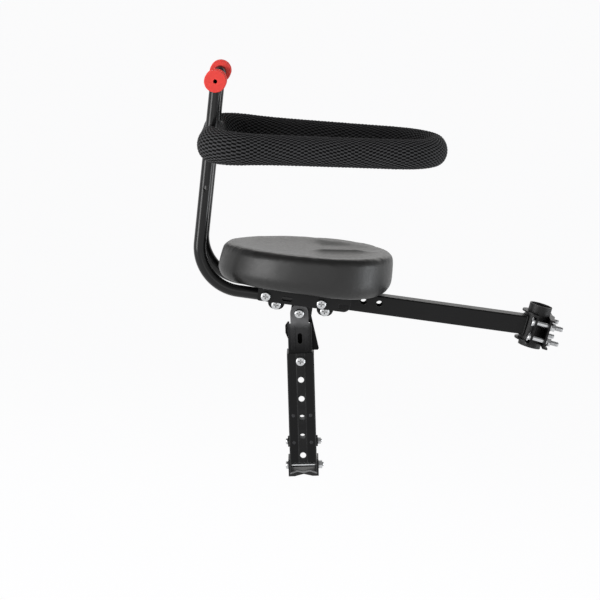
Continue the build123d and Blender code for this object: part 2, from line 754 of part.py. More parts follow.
with BuildPart() as leg_backing_plate:
    with BuildSketch(leg_face.offset(lower_in_y - weld_gap)):
        with Locations((0, -(backing_top_drop + backing_bottom_drop) / 2)):
            Rectangle(2 * (upper_half_w - leg_sheet), backing_bottom_drop - backing_top_drop)
        with Locations(*[(0, z + backing_shift) for x, z in leg_holes[3:5]]):
            Circle(leg_hole_r, mode=Mode.SUBTRACT)
    extrude(amount=-leg_sheet)
save(leg_backing_plate, "leg_backing_plate")

big_washer_t = 2.0
tie_out = lower_half_w + big_washer_t
leg_washers = group(
    washer(m5_r, 7.5, big_washer_t), [leg_at(s * lower_half_w, cross_y, cross_drop, s) for s in both_sides]
)
save(leg_washers, "leg_washers")
leg_cross_bolt = group(pan_bolt(2 * tie_out + 5.5, m5_r, 4.2, 3.0), [leg_at(-tie_out, cross_y, cross_drop, 1)])
save(leg_cross_bolt, "leg_cross_bolt")
leg_cross_nut = group(hex_nut(m5_r, 8.0, 4.0), [leg_at(tie_out, cross_y, cross_drop, 1)])
save(leg_cross_nut, "leg_cross_nut")

# Foot: a folded saddle on the channel's sides, with a rubber pad that sits on the frame tube
saddle_low = foot_bottom_drop - 4.5
saddle_high = foot_bottom_drop - 8.5
saddle_mid = foot_bottom_drop - 6.5
fold = [(-cheek_out, saddle_low), (-8.5, saddle_high), (0, saddle_mid), (8.5, saddle_high), (cheek_out, saddle_low)]
with BuildPart() as foot_bracket:
    with BuildSketch(leg_face.offset(foot_half_depth)):
        for s in both_sides:
            with Locations((s * (cheek_in + leg_sheet / 2), -(foot_top_drop + saddle_low) / 2)):
                Rectangle(leg_sheet, saddle_low - foot_top_drop)
        with BuildLine():
            Polyline(*[(x, -d) for x, d in fold], *[(x, -d - leg_sheet) for x, d in reversed(fold)], close=True)
        make_face()
    extrude(amount=-2 * foot_half_depth)
    with BuildSketch(leg_at(0, 0, 0, 1)):
        with Locations((foot_y, -foot_drop)):
            Circle(m6_r + hole_extra)
    extrude(amount=2 * cheek_out, both=True, mode=Mode.SUBTRACT)
save(foot_bracket, "foot_bracket")

with BuildPart() as foot_pad:
    with BuildSketch(leg_face.offset(foot_half_depth - 1)):
        with BuildLine():
            Polyline(
                *[(x, -d - leg_sheet - weld_gap) for x, d in fold],
                (cheek_out, -foot_bottom_drop),
                (12.0, -foot_bottom_drop),
                (0, -foot_bottom_drop + foot_notch),
                (-12.0, -foot_bottom_drop),
                (-cheek_out, -foot_bottom_drop),
                close=True,
            )
        make_face()
    extrude(amount=-2 * (foot_half_depth - 1))
save(foot_pad, "foot_pad")

foot_bolt = group(pan_bolt(2 * cheek_out + nut_h + 2, m6_r, 5.5, 3.6), [leg_at(-cheek_out, foot_y, foot_drop, 1)])
save(foot_bolt, "foot_bolt")
foot_nut = group(hex_nut(), [leg_at(cheek_out, foot_y, foot_drop, 1)])
save(foot_nut, "foot_nut")
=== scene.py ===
"""Looks of a front-mounted child seat.

The rigid nodes keep their shape and get finishes. The cushion and the guard's sleeve are modelled
as soft pieces, and welds, threads, bindings and stitches are added to the steel and the fabric.
Lengths are in metres: X runs rearward, Y to the right, Z up, origin in the post clamp's bore.
"""
import json
from math import cos, pi, radians, sin, sqrt, tan

import bpy
import numpy as np
from bpy.props import FloatProperty, FloatVectorProperty, IntProperty, IntVectorProperty, PointerProperty
from mathutils import Matrix, Vector, noise


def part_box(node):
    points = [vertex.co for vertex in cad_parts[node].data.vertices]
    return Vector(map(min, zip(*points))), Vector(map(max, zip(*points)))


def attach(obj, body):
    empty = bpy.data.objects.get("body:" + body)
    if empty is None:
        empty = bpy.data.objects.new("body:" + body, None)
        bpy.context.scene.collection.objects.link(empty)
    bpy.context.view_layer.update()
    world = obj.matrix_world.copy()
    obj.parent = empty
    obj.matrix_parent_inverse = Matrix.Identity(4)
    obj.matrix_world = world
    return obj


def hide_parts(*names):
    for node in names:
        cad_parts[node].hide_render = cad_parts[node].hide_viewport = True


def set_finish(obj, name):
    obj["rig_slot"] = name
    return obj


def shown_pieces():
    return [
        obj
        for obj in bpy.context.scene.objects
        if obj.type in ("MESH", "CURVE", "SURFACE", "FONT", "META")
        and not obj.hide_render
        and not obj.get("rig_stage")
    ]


bl_info = {
    "name": "Child Seat Looks",
    "version": (1, 0, 0),
    "blender": (4, 5, 0),
    "location": "View3D > Sidebar > Child Seat",
    "description": "Soft covers, welds, threads, finishes and stage for a front-mounted child seat",
    "category": "Object",
}

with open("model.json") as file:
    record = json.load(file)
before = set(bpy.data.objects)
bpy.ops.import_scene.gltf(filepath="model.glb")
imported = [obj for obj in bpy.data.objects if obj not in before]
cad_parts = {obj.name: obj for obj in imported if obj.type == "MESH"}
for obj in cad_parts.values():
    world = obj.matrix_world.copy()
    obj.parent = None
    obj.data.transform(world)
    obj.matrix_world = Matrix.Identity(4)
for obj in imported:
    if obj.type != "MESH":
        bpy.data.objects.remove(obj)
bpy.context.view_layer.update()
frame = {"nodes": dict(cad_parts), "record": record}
nodes = frame["nodes"]
cushion_low, cushion_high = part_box("seat_cushion")
board_low, board_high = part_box("seat_base")
beam_low, beam_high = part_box("beam")
hanger_low, hanger_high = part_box("leg_hanger")
bracket_low, bracket_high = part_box("seat_bracket")

MM = 0.001
WANDERS = 7  # times that the air mesh's rows wander in one turn round the guard
SEAM_SHARE = 0.64  # where round the sleeve its seam runs, as a share of a turn: on the inner underside
FILL_FRAMES = 20  # frames that the cloth is given to fill a cover


# Sizes and colours that a user would change


class SoftSizes(bpy.types.PropertyGroup):
    """Sizes of the cushion and of the guard's padded sleeve"""

    cushion_voxel: FloatProperty(
        name="Cushion Voxel", description="Spacing of the cushion's first mesh", default=4.0 * MM, unit="LENGTH"
    )
    cushion_take_in: FloatProperty(
        name="Cushion Take-in", description="How much smaller the cushion starts", default=2.0 * MM, unit="LENGTH"
    )
    cushion_cap: FloatProperty(
        name="Cushion Swell Limit", description="Most that a point of the cushion may move", default=5.0 * MM,
        unit="LENGTH",
    )
    cushion_smoothing: IntProperty(
        name="Cushion Smoothing", description="Rounds of smoothing after the cushion is filled", default=3
    )
    cushion_hold: FloatProperty(
        name="Cushion Hold", description="How firmly the foam keeps the seat's moulded shape", default=0.88,
        subtype="FACTOR",
    )
    pressure: FloatProperty(name="Pressure", description="Pressure of the foam on its cover", default=4.0)
    seat_foot: FloatVectorProperty(
        name="Seat Foot", description="Point of the seat's underside at its widest place", size=3,
        default=(-0.295, 0.0, 0.0149), unit="LENGTH",
    )
    seat_tilt: FloatProperty(
        name="Seat Tilt", description="How far the seat tilts up to the rear", default=radians(2.6), subtype="ANGLE"
    )
    side_bulge: FloatProperty(
        name="Side Bulge", description="How far the seat's side swells at half its height", default=1.6 * MM,
        unit="LENGTH",
    )
    skirt_tuck: FloatProperty(
        name="Skirt Tuck", description="How far the seat's lower edge is drawn in under it", default=4.5 * MM,
        unit="LENGTH",
    )
    skirt_drop: FloatProperty(
        name="Skirt Drop", description="How far the lower edge hangs down at the rear", default=3.4 * MM, unit="LENGTH"
    )
    hollow_depth: FloatProperty(
        name="Hollow Depth", description="Depth of the two hollows in the rear of the seat", default=5.2 * MM,
        unit="LENGTH",
    )
    ridge_along: FloatVectorProperty(
        name="Ridge Along", description="Where the ridge begins, is high, begins to fall and ends, along X", size=4,
        default=(-0.320, -0.290, -0.253, -0.228), unit="LENGTH",
    )
    hollow_rise: FloatVectorProperty(
        name="Hollow Rise", description="Where a hollow begins to rise and ends, as shares of the way to the rim",
        size=2, default=(0.52, 0.93),
    )
    ridge_height: FloatProperty(
        name="Ridge Height", description="How far the ridge between the hollows stands up", default=3.6 * MM,
        unit="LENGTH",
    )
    ridge_reach: FloatProperty(
        name="Ridge Reach", description="How far the creased ridge between the hollows spreads", default=0.021,
        unit="LENGTH",
    )
    guard_origin: FloatVectorProperty(
        name="Guard Origin", description="Middle of the guard's front bar", size=3,
        default=(-0.459805, 0.0, 0.190), unit="LENGTH",
    )
    guard_rise: FloatProperty(
        name="Guard Rise", description="How far the guard tilts up to the rear", default=radians(4.7), subtype="ANGLE"
    )
    guard_length: FloatProperty(
        name="Guard Length", description="From the front bar to the rear bar", default=0.295, unit="LENGTH"
    )
    guard_half_widths: FloatVectorProperty(
        name="Guard Half Widths", description="At the front and at the rear", size=2, default=(0.130, 0.071),
        unit="LENGTH",
    )
    guard_radii: FloatVectorProperty(
        name="Guard Corner Radii", description="At the front and at the rear", size=2, default=(0.038, 0.074),
        unit="LENGTH",
    )
    sleeve_half: FloatVectorProperty(
        name="Sleeve Half Sizes", description="Half thickness and half height of the filled sleeve", size=2,
        default=(0.0153, 0.019), unit="LENGTH",
    )
    sleeve_start: FloatProperty(
        name="Sleeve Start", description="Share of that size before it is filled", default=0.93, subtype="FACTOR"
    )
    sleeve_cap: FloatProperty(
        name="Sleeve Swell Limit", description="Most that a point of the sleeve may move", default=5.0 * MM,
        unit="LENGTH",
    )
    corner_fullness: FloatProperty(
        name="Corner Fullness", description="How much thicker the sleeve is in its front corners", default=0.14,
        subtype="FACTOR",
    )
    corner_reach: FloatProperty(
        name="Corner Reach", description="How far that thickness runs along the sleeve", default=0.045, unit="LENGTH"
    )
    mesh_cells: IntVectorProperty(
        name="Mesh Cells", description="Cells of the air mesh along the sleeve and around it", size=2,
        default=(98, 27),
    )
    row_wander: FloatProperty(
        name="Row Wander", description="How far the air mesh's rows wander, in cells", default=0.9, subtype="FACTOR",
        max=4.0,
    )
    mesh_relief: FloatProperty(
        name="Mesh Relief", description="Depth of the air mesh's cells", default=0.60 * MM, unit="LENGTH"
    )
    seam_depth: FloatProperty(
        name="Seam Depth", description="How far the sleeve's seam pulls in", default=1.6 * MM, unit="LENGTH"
    )
    stitch_pitch: FloatProperty(
        name="Stitch Pitch", description="Distance from stitch to stitch on the seam", default=6.5 * MM,
        unit="LENGTH",
    )


class SteelSizes(bpy.types.PropertyGroup):
    """Sizes of what is added to the steel"""

    post_place: FloatVectorProperty(
        name="Handle Post", description="Foot of the right handle post's straight line", size=3,
        default=(-0.454, 0.050, 0.0), unit="LENGTH",
    )
    post_lean: FloatProperty(
        name="Handle Lean", description="How far the handle leans forward", default=radians(1.75), subtype="ANGLE"
    )
    post_r: FloatProperty(name="Handle Tube Radius", description="Outside", default=8.0 * MM, unit="LENGTH")
    clamp_lean: FloatProperty(
        name="Clamp Lean", description="How far the post clamp leans back", default=radians(7.9), subtype="ANGLE"
    )
    shell_r: FloatProperty(
        name="Clamp Shell Radius", description="Outside of the round part", default=17.85 * MM, unit="LENGTH"
    )
    leg_pivot: FloatVectorProperty(
        name="Leg Pivot", description="Middle of the bolt that the leg turns on", size=3,
        default=frame["record"]["behaviour"]["joints"][0]["pos_m"], unit="LENGTH",
    )
    leg_lean: FloatProperty(
        name="Leg Lean", description="How far the leg slants to the rear on its way down", default=radians(9.5),
        subtype="ANGLE",
    )
    weld_r: FloatProperty(name="Weld Radius", description="Half width of a weld bead", default=1.7 * MM, unit="LENGTH")
    weld_pitch: FloatProperty(
        name="Weld Pitch", description="Distance from ripple to ripple", default=2.4 * MM, unit="LENGTH"
    )
    thread_pitch: FloatProperty(name="Thread Pitch", description="Of the M6 screws", default=1.0 * MM, unit="LENGTH")
    thread_height: FloatProperty(
        name="Thread Height", description="How far a thread stands out of its shank", default=0.28 * MM, unit="LENGTH"
    )
    spot_r: FloatProperty(name="Spot Weld Radius", description="Of one dot", default=2.3 * MM, unit="LENGTH")


class FinishColours(bpy.types.PropertyGroup):
    """Colours of the finishes"""

    coat: FloatVectorProperty(
        name="Powder Coat", description="Black coat of the steel", subtype="COLOR", default=(0.0042, 0.0042, 0.0045)
    )
    zinc: FloatVectorProperty(
        name="Zinc", description="Plating of the screws", subtype="COLOR", default=(0.64, 0.65, 0.66)
    )
    grip: FloatVectorProperty(
        name="Grip Rubber", description="Red of the grips", subtype="COLOR", default=(1.0, 0.064, 0.051)
    )
    leather: FloatVectorProperty(
        name="Seat Leather", description="Black of the seat's cover", subtype="COLOR", default=(0.0095, 0.0093, 0.0091)
    )
    yarn: FloatVectorProperty(
        name="Mesh Yarn", description="Black of the sleeve's air mesh", subtype="COLOR", default=(0.056, 0.056, 0.0585)
    )
    rubber: FloatVectorProperty(
        name="Black Rubber", description="Of the clamp's sleeve and the foot", subtype="COLOR",
        default=(0.011, 0.011, 0.011),
    )
    plastic: FloatVectorProperty(
        name="Black Plastic", description="Of the seat's board and the plug", subtype="COLOR",
        default=(0.014, 0.014, 0.015),
    )


class StageSettings(bpy.types.PropertyGroup):
    """Floor, lamps and camera"""

    floor_drop: FloatProperty(
        name="Floor Drop", description="Floor level under the origin", default=0.78, unit="LENGTH"
    )
    floor_size: FloatProperty(name="Floor Size", description="Side of the floor", default=90.0, unit="LENGTH")
    world_fill: FloatProperty(name="World Fill", description="Light from all round", default=0.85)
    sky_levels: FloatVectorProperty(
        name="Sky Levels", description="Brightness of the world at the horizon and overhead", size=2,
        default=(1.0, 0.28),
    )
    camera_aim: FloatVectorProperty(
        name="Camera Aim", description="Point in the middle of the picture", size=3, default=(-0.3151, 0.0, -0.0097),
        unit="LENGTH",
    )
    camera_reach: FloatProperty(
        name="Camera Distance", description="From the camera to that point", default=3.0, unit="LENGTH"
    )
    camera_pitch: FloatProperty(
        name="Camera Pitch", description="How far it looks down", default=radians(10.2), subtype="ANGLE"
    )
    camera_yaw: FloatProperty(
        name="Camera Yaw", description="How far it turns to the rear", default=radians(1.13), subtype="ANGLE"
    )
    camera_roll: FloatProperty(
        name="Camera Roll", description="How far the picture is turned", default=radians(-8.06), subtype="ANGLE"
    )
    camera_lens: FloatProperty(
        name="Camera Lens", description="Focal length on a 36 mm sensor", default=135.2, unit="CAMERA"
    )


# Small tools


def clear_selection():
    """Leaves edit mode and deselects everything."""
    if bpy.context.mode != "OBJECT":
        bpy.ops.object.mode_set(mode="OBJECT")
    bpy.ops.object.select_all(action="DESELECT")


def pick(*pieces):
    """Selects these pieces alone; the last one is active."""
    clear_selection()
    for piece in pieces:
        piece.select_set(True)
        bpy.context.view_layer.objects.active = piece


def named(name):
    """The piece that an operator has just made, under its own name."""
    piece = bpy.context.active_object
    piece.name = name
    piece.data.name = name
    return piece


def add_copy(source, name):
    """A copy of a piece or CAD node with its own mesh."""
    piece = bpy.data.objects.new(name, source.data.copy())
    piece.data.name = name
    bpy.context.scene.collection.objects.link(piece)
    return piece


def merge_points(piece, reach=0.01 * MM):
    """Joins points that lie together and turns all faces outward."""
    pick(piece)
    bpy.ops.object.mode_set(mode="EDIT")
    bpy.ops.mesh.select_all(action="SELECT")
    bpy.ops.mesh.remove_doubles(threshold=reach)
    bpy.ops.mesh.normals_make_consistent(inside=False)
    bpy.ops.object.mode_set(mode="OBJECT")


def join(pieces, name):
    """Makes one piece of several."""
    pick(*pieces)
    if len(pieces) > 1:
        bpy.ops.object.join()
    return named(name)


def settle(piece):
    """Puts a piece's place, turn and size into its mesh."""
    pick(piece)
    bpy.ops.object.transform_apply(location=True, rotation=True, scale=True)
    return piece


def apply_modifier(piece, kind, **settings):
    """Adds a modifier with these settings and applies it."""
    pick(piece)
    modifier = piece.modifiers.new(kind.title(), kind)
    for key, value in settings.items():
        setattr(modifier, key, value)
    bpy.ops.object.modifier_apply(modifier=modifier.name)


def subdivide(piece, levels):
    apply_modifier(piece, "SUBSURF", levels=levels, render_levels=levels)


def point_values(piece, key):
    """A row of three numbers for each point of a piece."""
    values = np.empty(len(piece.data.vertices) * 3, np.float32)
    piece.data.vertices.foreach_get(key, values)
    return values.reshape(-1, 3).astype(float)


def places(piece):
    return point_values(piece, "co")


def outward(piece):
    return point_values(piece, "normal")


def places_in(piece, place):
    """A piece's points as a leaning part's own frame gives them."""
    back = np.array(place.inverted())
    return places(piece) @ back[:3, :3].T + back[:3, 3]


def ease(value, low, high):
    """A smooth step from 0 at low to 1 at high."""
    t = np.clip((value - low) / (high - low), 0, 1)
    return t * t * (3 - 2 * t)


def cut(piece, cutter):
    """Takes a cutter's room out of a piece."""
    apply_modifier(piece, "BOOLEAN", operation="DIFFERENCE", object=cutter, solver="EXACT")
    bpy.data.objects.remove(cutter)


def move_to(piece, co):
    """Puts a piece's points at new places."""
    piece.data.vertices.foreach_set("co", np.asarray(co, np.float32).ravel())
    piece.data.update()


def smooth(piece, angle=None):
    """Shades a piece smooth, all over or across edges that bend less than an angle."""
    pick(piece)
    if angle is None:
        bpy.ops.object.shade_smooth()
    else:
        bpy.ops.object.shade_smooth_by_angle(angle=angle)


def swell(piece, pressure, cap, held=None):
    """Fills a closed cover: cloth under pressure, no gravity, with a limit on how far a point moves."""
    before = places(piece)
    pick(piece)
    cloth = piece.modifiers.new("Fill", "CLOTH")
    cloth.settings.quality = 6
    cloth.settings.mass = 0.3
    cloth.settings.use_pressure = True
    cloth.settings.uniform_pressure_force = pressure
    cloth.settings.effector_weights.gravity = 0.0
    cloth.collision_settings.use_collision = False
    cloth.point_cache.frame_start = 1
    cloth.point_cache.frame_end = FILL_FRAMES
    if held is not None:
        group = piece.vertex_groups.new(name="held")
        group.add([int(i) for i in np.flatnonzero(held)], 1.0, "REPLACE")
        cloth.settings.vertex_group_mass = "held"
    scene = bpy.context.scene
    for moment in range(1, FILL_FRAMES + 1):
        scene.frame_set(moment)
    bpy.ops.object.modifier_apply(modifier=cloth.name)
    scene.frame_set(1)
    moved = places(piece) - before
    reach = np.linalg.norm(moved, axis=1, keepdims=True)
    move_to(piece, before + moved * np.minimum(1.0, cap / np.maximum(reach, 1e-9)))
    piece.vertex_groups.clear()


def finish_piece(piece, body, slot, *stands_for):
    """Ties a piece to its body, its slot and the nodes that it stands for."""
    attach(piece, body)
    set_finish(piece, slot)
    if stands_for:
        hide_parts(*stands_for)


# Frames of the leaning parts


def tilted(rise, origin):
    """A frame at that point, whose X rises to the rear by that angle."""
    return Matrix.Translation(origin) @ Matrix.Rotation(-rise, 4, "Y")


def clamp_frame(steel):
    """The post clamp's frame: Z runs up the post."""
    return tilted(-steel.clamp_lean, (0, 0, 0))


def seat_frame(soft):
    """The seat's frame: X runs rearward along its tilted underside, Z square to it."""
    return tilted(soft.seat_tilt, soft.seat_foot)


def guard_frame(soft):
    """The guard's frame: X runs rearward along it, from its front bar."""
    return tilted(soft.guard_rise, soft.guard_origin)


def leg_frame(steel):
    """The leg's frame: origin on its pivot, Z up along the leg."""
    return tilted(steel.leg_lean, steel.leg_pivot)


def post_spot(steel, side, height):
    """The middle of the left (-1) or right (1) handle post at a height."""
    x, y, _ = steel.post_place
    return Vector((x - height * tan(steel.post_lean), side * y, height))


def guard_route(soft):
    """Points along the guard's rounded ring, from the middle of its rear bar, and how far along it each lies."""
    arc_points = 41
    front, rear = soft.guard_half_widths
    r_front, r_rear = soft.guard_radii
    far = soft.guard_length
    corners = [((far, rear), r_rear), ((0, front), r_front), ((0, -front), r_front), ((far, -rear), r_rear)]
    points = [np.array((far, 0.0))]
    for i, (corner, r) in enumerate(corners):
        corner = np.array(corner)
        before = np.array(corners[i - 1][0]) - corner
        after = np.array(corners[(i + 1) % 4][0]) - corner
        before, after = before / np.linalg.norm(before), after / np.linalg.norm(after)
        half = np.arccos(before @ after) / 2
        middle = corner + (before + after) / np.linalg.norm(before + after) * r / sin(half)
        start, end = corner + before * r / tan(half), corner + after * r / tan(half)
        for t in np.linspace(0, 1, arc_points):
            ray = (1 - t) * (start - middle) + t * (end - middle)
            points.append(middle + ray / np.linalg.norm(ray) * r)
    points.append(points[0])
    points = np.array(points)
    steps = np.linalg.norm(np.diff(points, axis=0), axis=1)
    return points, np.concatenate(([0.0], np.cumsum(steps)))


def along_route(route, share):
    """Place and outward direction at shares from 0 to 1 of the way round."""
    points, reached = route
    total = reached[-1]

    def spot(s):
        s = np.mod(s, total)
        return np.stack([np.interp(s, reached, points[:, k]) for k in (0, 1)], axis=1)

    s = np.asarray(share) * total
    step = 1.5 * MM
    here = spot(s)
    ahead = spot(s + step) - spot(s - step)
    ahead /= np.linalg.norm(ahead, axis=1, keepdims=True)
    return here, np.stack((ahead[:, 1], -ahead[:, 0]), axis=1)


# Operators, one for each piece or group of like pieces


class CHILDSEAT_OT_cushion(bpy.types.Operator):
    """Fills the seat's cover over its board and presses the two hollows into it"""

    bl_idname = "childseat.cushion"
    bl_label = "Cushion"

    HELD_BELOW = 8 * MM  # up to this height the board holds the cover
    FREE_FROM, FREE_OVER = 6 * MM, 8 * MM  # height at which the foam begins to give, and how far that takes to grow
    FILL_LAP, FILL_RISE = 1.0 * MM, 0.5 * MM  # by which the fill laps over the board and clears the underside
    BOARD_GAP, BRACKET_GAP = 0.3 * MM, 0.3 * MM  # from the cover to the board and to the bracket
    TUCK_TOP, DROP_TOP = 0.34, 0.6  # shares of the seat's height that the tuck and the drop of its skirt take up
    RIM_REACH = (0.070, 0.084)  # how far out the rim begins and is reached
    RIM_SQUEEZE = 0.8  # share by which lengths count towards that, as the seat is longer than it is wide
    REAR_SPAN = (-0.02, 0.05)  # where the rear begins and is reached, from the seat's widest place
    TOP_FACING = (0.35, 0.5)  # how far up a face looks where the top begins, and how much more makes it top
    SLACK, SLACK_SCALE = 0.07 * MM, 38.0  # unevenness of the top
    FOLD, FOLD_SCALES, FOLD_SLICE = 0.06, (18, 75), 3.7  # unevenness of the hollows, as a share of their depth

    def execute(self, context):
        soft = context.scene.childseat_soft
        fill = self.board_room("board_fill", soft, self.FILL_LAP, self.underside(soft))
        cover = join([fill, add_copy(nodes["seat_cushion"], "cushion_cover")], "cushion_cover")
        merge_points(cover)
        apply_modifier(cover, "REMESH", mode="VOXEL", voxel_size=soft.cushion_voxel)
        height = places_in(cover, seat_frame(soft))[:, 2]
        free = np.clip((height - self.FREE_FROM) / self.FREE_OVER, 0, 1)
        move_to(cover, places(cover) - outward(cover) * (free * soft.cushion_take_in)[:, None])
        swell(cover, soft.pressure, soft.cushion_cap, held=height < self.HELD_BELOW)
        apply_modifier(cover, "SMOOTH", factor=0.5, iterations=soft.cushion_smoothing)
        self.keep_size(cover)
        self.hold_shape(cover, free * soft.cushion_hold)
        self.round_sides(cover, soft)
        subdivide(cover, 1)
        self.press_hollows(cover, soft)
        cut(cover, self.board_room("board_cutter", soft, self.BOARD_GAP, np.zeros_like))
        cut(cover, self.bracket_room())
        smooth(cover)
        finish_piece(cover, "seat", "seat_leather", "seat_cushion")
        return {"FINISHED"}

    def underside(self, soft):
        """Level of the seat's tilted underside along X."""
        foot, slope = Vector(soft.seat_foot), tan(soft.seat_tilt)
        level = foot.z + self.FILL_RISE
        return lambda along: np.minimum(board_low.z, level + (along - foot.x) * slope)

    @staticmethod
    def board_room(name, soft, grow, level):
        """An egg-shaped block round the board, down to a level that may change along X."""
        clear_selection()
        bpy.ops.mesh.primitive_cylinder_add(vertices=128, radius=1, depth=2)
        room = named(name)
        co = places(room)
        middle = soft.seat_foot[0]
        reach = np.where(co[:, 0] < 0, middle - board_low.x, board_high.x - middle) + grow
        along = middle + co[:, 0] * reach
        up = np.where(co[:, 2] > 0, board_high.z + grow, level(along))
        move_to(room, np.column_stack((along, co[:, 1] * (board_high.y + grow), up)))
        return room

    def bracket_room(self):
        """A block round the bracket under the seat."""
        clear_selection()
        size = bracket_high - bracket_low + 2 * Vector((self.BRACKET_GAP, self.BRACKET_GAP, 0))
        bpy.ops.mesh.primitive_cube_add(size=1, location=(bracket_low + bracket_high) / 2, scale=size)
        return settle(named("bracket_cutter"))

    @staticmethod
    def keep_size(cover):
        """Brings the filled cover back to the seat's own length, width and height."""
        co = places(cover)
        low, high = co.min(0), co.max(0)
        want_low, want_high = np.array(cushion_low), np.array(cushion_high)
        move_to(cover, (co - low) / (high - low) * (want_high - want_low) + want_low)

    @staticmethod
    def hold_shape(cover, share):
        """Draws the filled cover part of the way back to the seat's moulded surface."""
        filled = places(cover)
        apply_modifier(cover, "SHRINKWRAP", target=nodes["seat_cushion"], wrap_method="NEAREST_SURFACEPOINT")
        move_to(cover, filled + (places(cover) - filled) * share[:, None])

    def round_sides(self, cover, soft):
        """Swells the side at half its height, draws its lower edge in and lets that hang at the rear."""
        co, out = places(cover), outward(cover)
        height = places_in(cover, seat_frame(soft))[:, 2]
        tall = cushion_high.z - cushion_low.z
        middle = soft.seat_foot[0]
        level = np.clip(height / tall, 0, 1)
        facing = np.hypot(out[:, 0], out[:, 1])
        heading = out[:, :2] / np.maximum(facing, 1e-6)[:, None]
        lower = 1 - ease(height, 0, self.TUCK_TOP * tall)
        push = soft.side_bulge * np.sin(pi * level) - soft.skirt_tuck * lower**2
        rim = ease(np.hypot((co[:, 0] - middle) * self.RIM_SQUEEZE, co[:, 1]), *self.RIM_REACH)
        co[:, :2] += heading * (push * np.clip(facing, 0, 1))[:, None]
        rear = ease(co[:, 0], middle + self.REAR_SPAN[0], middle + self.REAR_SPAN[1])
        co[:, 2] -= soft.skirt_drop * (1 - ease(height, 0, self.DROP_TOP * tall)) * rear * rim
        move_to(cover, co)

    def press_hollows(self, cover, soft):
        """Presses a hollow on each side of a creased ridge into the rear of the seat's top."""
        co, up = places(cover), outward(cover)[:, 2]
        top = np.clip((up - self.TOP_FACING[0]) / self.TOP_FACING[1], 0, 1)
        begin, high, fall, end = soft.ridge_along
        middle = soft.seat_foot[0]
        along, side = co[:, 0], np.abs(co[:, 1])
        rear = ease(along, begin, high)
        ridge = np.exp(-side / soft.ridge_reach)
        reach = np.hypot((along - middle) / (cushion_high.x - middle), side / cushion_high.y)
        hollow = rear * (1 - ridge) * (1 - ease(reach, *soft.hollow_rise))
        slack = np.array([noise.noise(Vector(p) * self.SLACK_SCALE) for p in co])
        long, wide = self.FOLD_SCALES
        fold = np.array([noise.noise(Vector((x * long, y * wide, self.FOLD_SLICE))) for x, y, _ in co])
        ridge *= rear * (1 - ease(along, fall, end))
        lift = ridge * soft.ridge_height - hollow * soft.hollow_depth * (1 + self.FOLD * fold)
        co[:, 2] += top * (self.SLACK * slack + lift)
        move_to(cover, co)


